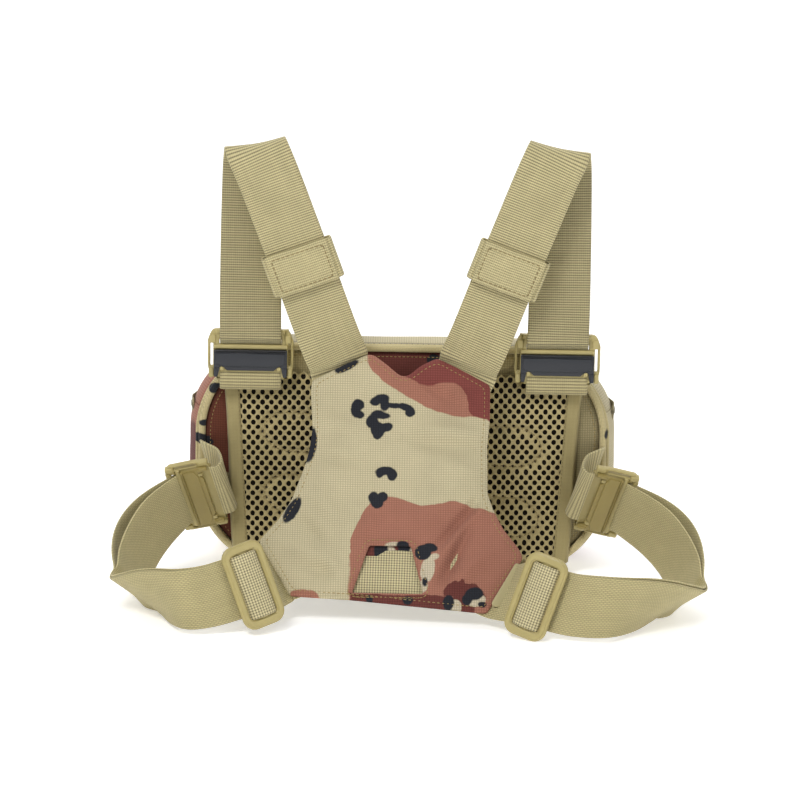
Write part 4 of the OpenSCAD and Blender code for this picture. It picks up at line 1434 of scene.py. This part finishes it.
def make_frame(name, axes, sign, material, body, replaces, reach=9.5):
    half = [(-reach, 19.5), (0.9 - reach, 23.6), (-6.0, 26.3), (-2.0, 26.5), (9.0, 26.5), (13.5, 25.9),
            (16.5, 24.0), (18.5, 21.0), (19, 18)]
    outer = [(-reach, -19.5)] + half + [(x, -y) for x, y in half[:0:-1]]
    outer = smooth(np.array(outer + outer[:1]), 4)[:-1]
    holes = [rounded_loop(-6.4, -19.4, -2.2, 19.4, 1.2), rounded_loop(1.6, -19.4, 11.3, 19.4, 1.4),
             rounded_loop(-3.5, 23.2, 11.0, 24.9, 0.7), rounded_loop(-3.5, -24.9, 11.0, -23.2, 0.7)]
    base = plate_object(name, [outer.tolist()] + holes, 3.4, 0.8, axes, sign, -3.4)
    parts = [base, bar(name + "_a", -0.1 - reach, -21.6, 3.1 - reach, 21.6, -3.2, 0.9, axes, sign, 1.0),
             bar(name + "_b", -2.8, -23.0, 0.0, 23.0, -2.6, 1.3, axes, sign, 0.8)]
    for s in (-1, 1):
        for letter, x0, x1, middle, half_width, z0, z1, bevel in (
                ("c", 12.4, 18.4, 24.3, 1.6, -3.4, 1.0, 0.8), ("d", 9.8, 13.6, 17.7, 1.2, -2.6, 2.6, 0.6),
                ("e", -9.0, -3.6, 23.4, 1.9, -3.4, 1.2, 0.9)):
            parts.append(bar("%s_%s%d" % (name, letter, s), x0, s * middle - half_width, x1,
                             s * middle + half_width, z0, z1, axes, sign, bevel))
    settle(join(name, parts), material, body, replaces)


def make_plate(name, axes, sign, material, body, replaces):
    half = 22.7
    above = [(0.6, half), (13.6, half), (17.2, half - 0.2), (17.5, half - 2.4), (14.2, half - 3.2),
             (11.4, half - 3.4), (11.4, half - 6.4), (12.2, half - 6.8), (13.4, half - 8.4)]
    outer = [(0.6, -half)] + above + [(x, -y) for x, y in above[:0:-1]]
    base = plate_object(name, [outer], 2.3, 0.4, axes, sign, 0.3)
    ridge = [(2.2, -21.4), (2.2, 21.4), (8.8, 21.4), (10.8, 17.0), (10.8, -17.0), (8.8, -21.4)]
    raised = plate_object(name + "_ridge", [ridge], 1.5, 0.45, axes, sign, 2.0)
    hinge = bar(name + "_knuckle", 0.2, -22.0, 1.7, 22.0, 0.4, 3.6, axes, sign, 0.6)
    parts = [base, raised, hinge]
    for s in (-1, 1):
        parts.append(bar(name + "_p%d" % s, 11.6, s * 21.5 - 1.1, 17.4, s * 21.5 + 1.1, 0.3, 3.4,
                         axes, sign, 0.6))
    settle(join(name, parts), material, body, replaces)


def make_adjuster(side, sign):
    axes = SLIDER_AXES[side]
    name = "adjuster_ring_" + side
    outer = rounded_loop(-13.5, -26, 13.5, 26, 7.6, 10)
    holes = [rounded_loop(-8.9, -19.9, -1.6, 19.9, 2.2), rounded_loop(1.6, -19.9, 8.9, 19.9, 2.2)]
    base = plate_object(name, [outer] + holes, 4.0, 1.3, axes, sign, SLIDER_LIFT)
    rim = plate_object(name + "_rim", [rounded_loop(-12.3, -24.8, 12.3, 24.8, 6.6, 10),
                                       rounded_loop(-9.9, -20.9, 9.9, 20.9, 3.2, 8)], 1.3, 0.5, axes, sign,
                       SLIDER_LIFT + 3.3)
    settle(join(name, [base, rim]), TAN_PLASTIC, "adjuster_" + side, ["side_slider_" + side])
    climb = [(-9.3, -1.4), (-9.0, -0.4), (-8.3, 1.6), (-6.6, 3.9), (-3.4, 5.1)]
    profile = climb + [(0, 5.4)] + [(-x, z) for x, z in climb[::-1]]
    pairs = [to_world(axes, [(x, 19.9, SLIDER_LIFT + z), (x, -19.9, SLIDER_LIFT + z)]).tolist()
             for x, z in profile]
    verts, faces, uv = ribbon_mesh(pairs, 39.8, 1.4, 5, 12)
    piece("adjuster_webbing_" + side, mirrored(verts, sign), turned(faces, sign), WEB_GRID,
          "adjuster_" + side, ["slider_wrap_" + side], uv)


def make_keeper(side, sign):
    """Loop of webbing round the strap, with a stitched patch on its face."""
    w, front, back = 44.0, 3.4, -2.4
    path = [(4, back), (-w / 2 + 2.4, back), (-w / 2 + 0.6, back + 0.8), (-w / 2, (front + back) / 2),
            (-w / 2 + 0.6, front - 0.7), (-w / 2 + 2.6, front), (-10, front + 0.2), (10, front + 0.2),
            (w / 2 - 2.6, front), (w / 2 - 0.6, front - 0.7), (w / 2, (front + back) / 2),
            (w / 2 - 0.6, back + 0.8), (w / 2 - 2.4, back), (2, back)]
    pairs = [to_world(KEEPER_AXES, [(x, 13, z), (x, -13, z)]).tolist() for x, z in path]
    verts, faces, uv = ribbon_mesh(pairs, 26, 1.3, 5, 10)
    uv = [(v, u) for u, v in uv]
    piece("keeper_loop_" + side, mirrored(verts, sign), turned(faces, sign), WEB, "keeper_" + side,
          ["keeper_" + side, "keeper_patch_" + side], uv)
    pairs = [to_world(KEEPER_AXES, [(-19.5 + 39 * t, 13.4 + 0.25 * math.sin(9 * t), front + 1.35),
                                    (-19.5 + 39 * t, -13.6, front + 1.35)]).tolist()
             for t in np.linspace(0, 1, 8)]
    verts, faces, uv = ribbon_mesh(pairs, 27, 1.3, 4, 12)
    uv = [(v, u) for u, v in uv]
    piece("keeper_patch_" + side, mirrored(verts, sign), turned(faces, sign), WEB, "keeper_" + side, [],
          uv)
    box = [(-16.6, 10.6), (16.6, 10.6), (16.6, -10.6), (-16.6, -10.6), (-16.6, 10.6)]
    path = to_world(KEEPER_AXES, [(x, y, front + 2.15) for x, y in box])
    lines = [(mirrored(path, sign), mirrored(KEEPER_AXES[3][None, :], sign)[0])]
    verts, faces = stitch_mesh(lines, 3.1, 2.2, 0.34)
    piece("keeper_stitches_" + side, verts, faces, THREAD_DARK, "keeper_" + side)


# ---------------------------------------------------------------- zips, pocket, webbing rows

def side_x(y, z):
    """Half the pack's width at a depth and height."""
    w, h, r = shell_size(y)
    loop = ring(w, h, r, 0.3, 400)
    right = loop[loop[:, 0] > 0]
    order = np.argsort(np.abs(right[:, 1] - z))[:6]
    return float(right[order, 0].max())


BLOCK_FACES = ((0, 1, 5, 4), (1, 2, 6, 5), (2, 3, 7, 6), (3, 0, 4, 7), (4, 5, 6, 7), (3, 2, 1, 0))


def teeth_mesh(path, out, across, pitch=1.7):
    """Interlocking zip teeth along a path; out and across are unit vectors at each point."""
    path, out, across = (np.asarray(v, float) for v in (path, out, across))
    both = resample(np.hstack([path, out, across]), pitch)
    verts, faces = [], []
    for i, row in enumerate(both):
        p, o, a = row[:3], unit(row[3:6]), unit(row[6:9])
        t = unit(np.cross(o, a))
        shift = 0.55 if i % 2 else -0.55
        base = len(verts)
        for da, do, dt in ((-1.25, -0.3, -0.5), (1.25, -0.3, -0.5), (1.25, -0.3, 0.5), (-1.25, -0.3, 0.5),
                           (-1.0, 0.65, -0.36), (1.0, 0.65, -0.36), (1.0, 0.65, 0.36), (-1.0, 0.65, 0.36)):
            verts.append((p + a * (da + shift) + o * do + t * dt) * MM)
        faces += [tuple(base + k for k in face) for face in BLOCK_FACES]
    return verts, faces


def make_main_zip():
    """Zip along the lid's parting line: one run down each side and one over the top at the back."""
    z = LID_Z - 2.6
    side = [(side_x(y, z) - 0.1, y, z) for y in np.linspace(32, -23, 15)]
    y = LID_Y - 3.4
    loop = ring(*shell_size(y)[:3], 0.3, 400)
    top = loop[(loop[:, 1] > z + 5) & (loop[:, 0] > 0.5)]
    top = top[np.argsort(np.arctan2(top[:, 1] - z, top[:, 0]))]
    arch = [(x, y, height - 0.1) for x, height in top[::4]]
    arch += [(-px, py, pz) for px, py, pz in arch[::-1]]
    runs = {"right": side, "left": [(-px, py, pz) for px, py, pz in side], "rear": arch}
    for name, points in runs.items():
        path = resample(np.array(points), 3.0)
        out = path - (0, 0, 70.0)
        out[:, 1] = 0
        if name != "rear":
            out[:, 2] = 0
        out /= np.linalg.norm(out, axis=1)[:, None]
        across = np.cross(out, np.gradient(path, axis=0))
        across /= np.linalg.norm(across, axis=1)[:, None]
        pairs = [[(p - 4.6 * a).tolist(), (p + 4.6 * a).tolist()] for p, a in zip(path, across)]
        verts, faces, uv = ribbon_mesh(pairs, 9.2, 0.7, 2, 6)
        piece("main_zip_tape_" + name, verts, faces, ZIP_TAPE, "pack", ["main_zipper"], uv)
        verts, faces = teeth_mesh(path + out * 0.2, out, across)
        piece("main_zip_teeth_" + name, verts, faces, ZIP_TEETH, "pack", [], flat=True)


ZIP_AXES = local_axes((116.8, 24, 101.5), (-0.365, 0.931, 0), (-0.24, -0.1, 0.965))


def make_slider(name, axes, body, replaces, material):
    outer = smooth(np.array([(-5, -2.4), (-3, -3.8), (2, -3.9), (4.9, -2.8), (5.2, 0), (4.9, 2.8),
                             (2, 3.9), (-3, 3.8), (-5, 2.4), (-5, -2.4)]), 4)[:-1]
    base = plate_object(name, [outer.tolist()], 2.6, 0.7, axes, 1.0, 1.9)
    bridge = bar(name + "_bridge", -3.4, -1.1, 3.2, 1.1, 4.2, 6.2, axes, 1.0, 0.6)
    settle(join(name, [base, bridge]), material, body, replaces)


def make_pull(name, axes, body, replaces, material):
    outer = smooth(np.array([(-1.6, -0.6), (-2.4, -4), (-3.9, -9), (-4.0, -20), (-3.2, -23.6), (0, -24.2),
                             (3.2, -23.6), (4.0, -20), (3.9, -9), (2.4, -4), (1.6, -0.6),
                             (-1.6, -0.6)]), 4)[:-1]
    hole = rounded_loop(-1.9, -21.8, 1.9, -14.5, 1.4)
    base = plate_object(name, [outer.tolist(), hole], 1.8, 0.6, axes, 1.0, 5.4)
    settle(base, material, body, replaces)


POCKET_Y = 48.3


def make_pocket():
    """Camo pocket on the front, its zip, and two rows of webbing across it."""
    rings = []
    for t, y in ((0.0, 38.4), (0.0, 41.5), (0.0, 45.0), (0.9, 47.2), (2.4, 48.0), (8, 48.2),
                 (20, 48.2), (36, 48.2)):
        rings.append(flat_ring(176 - 2 * t, 84 - 2 * t, max(18 - t, 3), y, 14 + t, 200))
    verts, faces = loft(rings, True, False)
    normals = np.tile([0.0, 1.0, 0.0], (len(verts), 1))
    verts = puff(verts, normals, 0.4, 0.1, 1.0)
    piece("pocket_cloth", verts * MM, faces, BODY_CAMO, "pack", ["front_pocket"])
    path = np.array([(x, POCKET_Y + 0.5, 86.0) for x in np.linspace(-70, 70, 60)])
    out, across = np.tile([0, 1.0, 0], (60, 1)), np.tile([0, 0, 1.0], (60, 1))
    pairs = [[(p - 6 * a).tolist(), (p + 6 * a).tolist()] for p, a in zip(path, across)]
    verts, faces, uv = ribbon_mesh(pairs, 12, 0.8, 2, 8)
    piece("pocket_zip_tape", verts, faces, ZIP_TAPE, "pack", ["pocket_zipper"], uv)
    verts, faces = teeth_mesh(path + out * 0.8, out, across)
    piece("pocket_zip_teeth", verts, faces, ZIP_TEETH, "pack", [], flat=True)
    slider = local_axes((60, 47.9, 86), (1, 0, 0), (0, 0, 1))
    slider = (slider[0], slider[1], slider[2], np.array([0, 1.0, 0]))
    make_slider("pocket_zip_slider", slider, "pocket_slider", ["pocket_slider"], TAN_PLASTIC)
    pull = (np.array([60, 47.5, 86.0]), np.array([1.0, 0, 0]), np.array([0, 0, 1.0]), np.array([0, 1.0, 0]))
    make_pull("pocket_zip_pull", pull, "pocket_pull", ["pocket_pull"], TAN_PLASTIC)
    tacks = []
    for row, z in enumerate((38.5, 64.5)):
        pairs = []
        for x in np.linspace(-76, 76, 33):
            y = POCKET_Y + 1.1 + 0.35 * abs(math.sin(math.pi * (x + 76) / 38))
            pairs.append([[x, y, z - 12.5], [x, y, z + 12.5]])
        verts, faces, uv = ribbon_mesh(pairs, 25, 1.4, 3, 10)
        piece("webbing_row_%d" % row, verts, faces, WEB, "pack", ["front_webbing"] if row == 0 else [],
              uv)
        for x in (-76, -38, 0, 38, 76):
            for dx in (-0.9, 0.0, 0.9):
                edge = -0.7 if x == 76 else 0.7 if x == -76 else 0
                line = np.array([(x + dx + edge * 2, POCKET_Y + 2.1, z - 11.5),
                                 (x + dx + edge * 2, POCKET_Y + 2.1, z + 11.5)])
                tacks.append((line, (0, 1, 0)))
    verts, faces = stitch_mesh(tacks, 1.5, 1.7, 0.28)
    piece("webbing_row_tacks", verts, faces, THREAD_DARK, "pack")


def make_hinge_tape():
    """Folded cloth strip that joins the lid to the pack at the front."""
    pairs = [[[x, 38.9, 98.8], [x, 38.9, 103.4]] for x in np.linspace(-70, 70, 20)]
    verts, faces, uv = ribbon_mesh(pairs, 5.0, 0.9, 2, 6)
    piece("lid_hinge_cloth", verts, faces, BINDING, "pack", ["lid_hinge_tape"], uv)


TAG = plain_cloth("blank_tag_rubber", shade(208, 196, 148), "uv")
ZIP_TAPE = webbing("zip_tape", shade(150, 140, 104), rib=0.0008, pin=0.0008, contrast=0.2, depth=0.0001)


# ---------------------------------------------------------------- build everything

make_camera()
make_stage()
make_shell()
make_rear_panel()
make_piping()
make_mesh()
make_foam()
make_bindings()
make_yoke()
make_bridge()
for side, sign in SIDES.items():
    make_shoulder(side, sign)
    make_side_strap(side, sign)
    make_tab(side, sign)
    make_top_loop(side, sign)
    make_frame("top_frame_" + side, TOP_AXES, sign, TAN_PLASTIC, "harness", ["buckle_frame_" + side],
               12.5)
    make_plate("top_hook_" + side, TOP_AXES, sign, BLACK_PLASTIC, "hook_plate_" + side,
               ["hook_plate_" + side])
    make_frame("side_frame_ring_" + side, SIDE_AXES, sign, TAN_PLASTIC, "harness", ["side_frame_" + side])
    make_plate("side_hook_" + side, SIDE_AXES, sign, OLIVE_PLASTIC, "side_plate_" + side,
               ["side_plate_" + side])
    make_adjuster(side, sign)
    make_keeper(side, sign)
make_main_zip()
make_slider("main_zip_slider", ZIP_AXES, "zip_slider", ["zip_slider"], TAN_PLASTIC)
make_pull("main_zip_pull", ZIP_AXES, "zip_pull", ["zip_pull"], TAN_PLASTIC)
make_pocket()
make_hinge_tape()
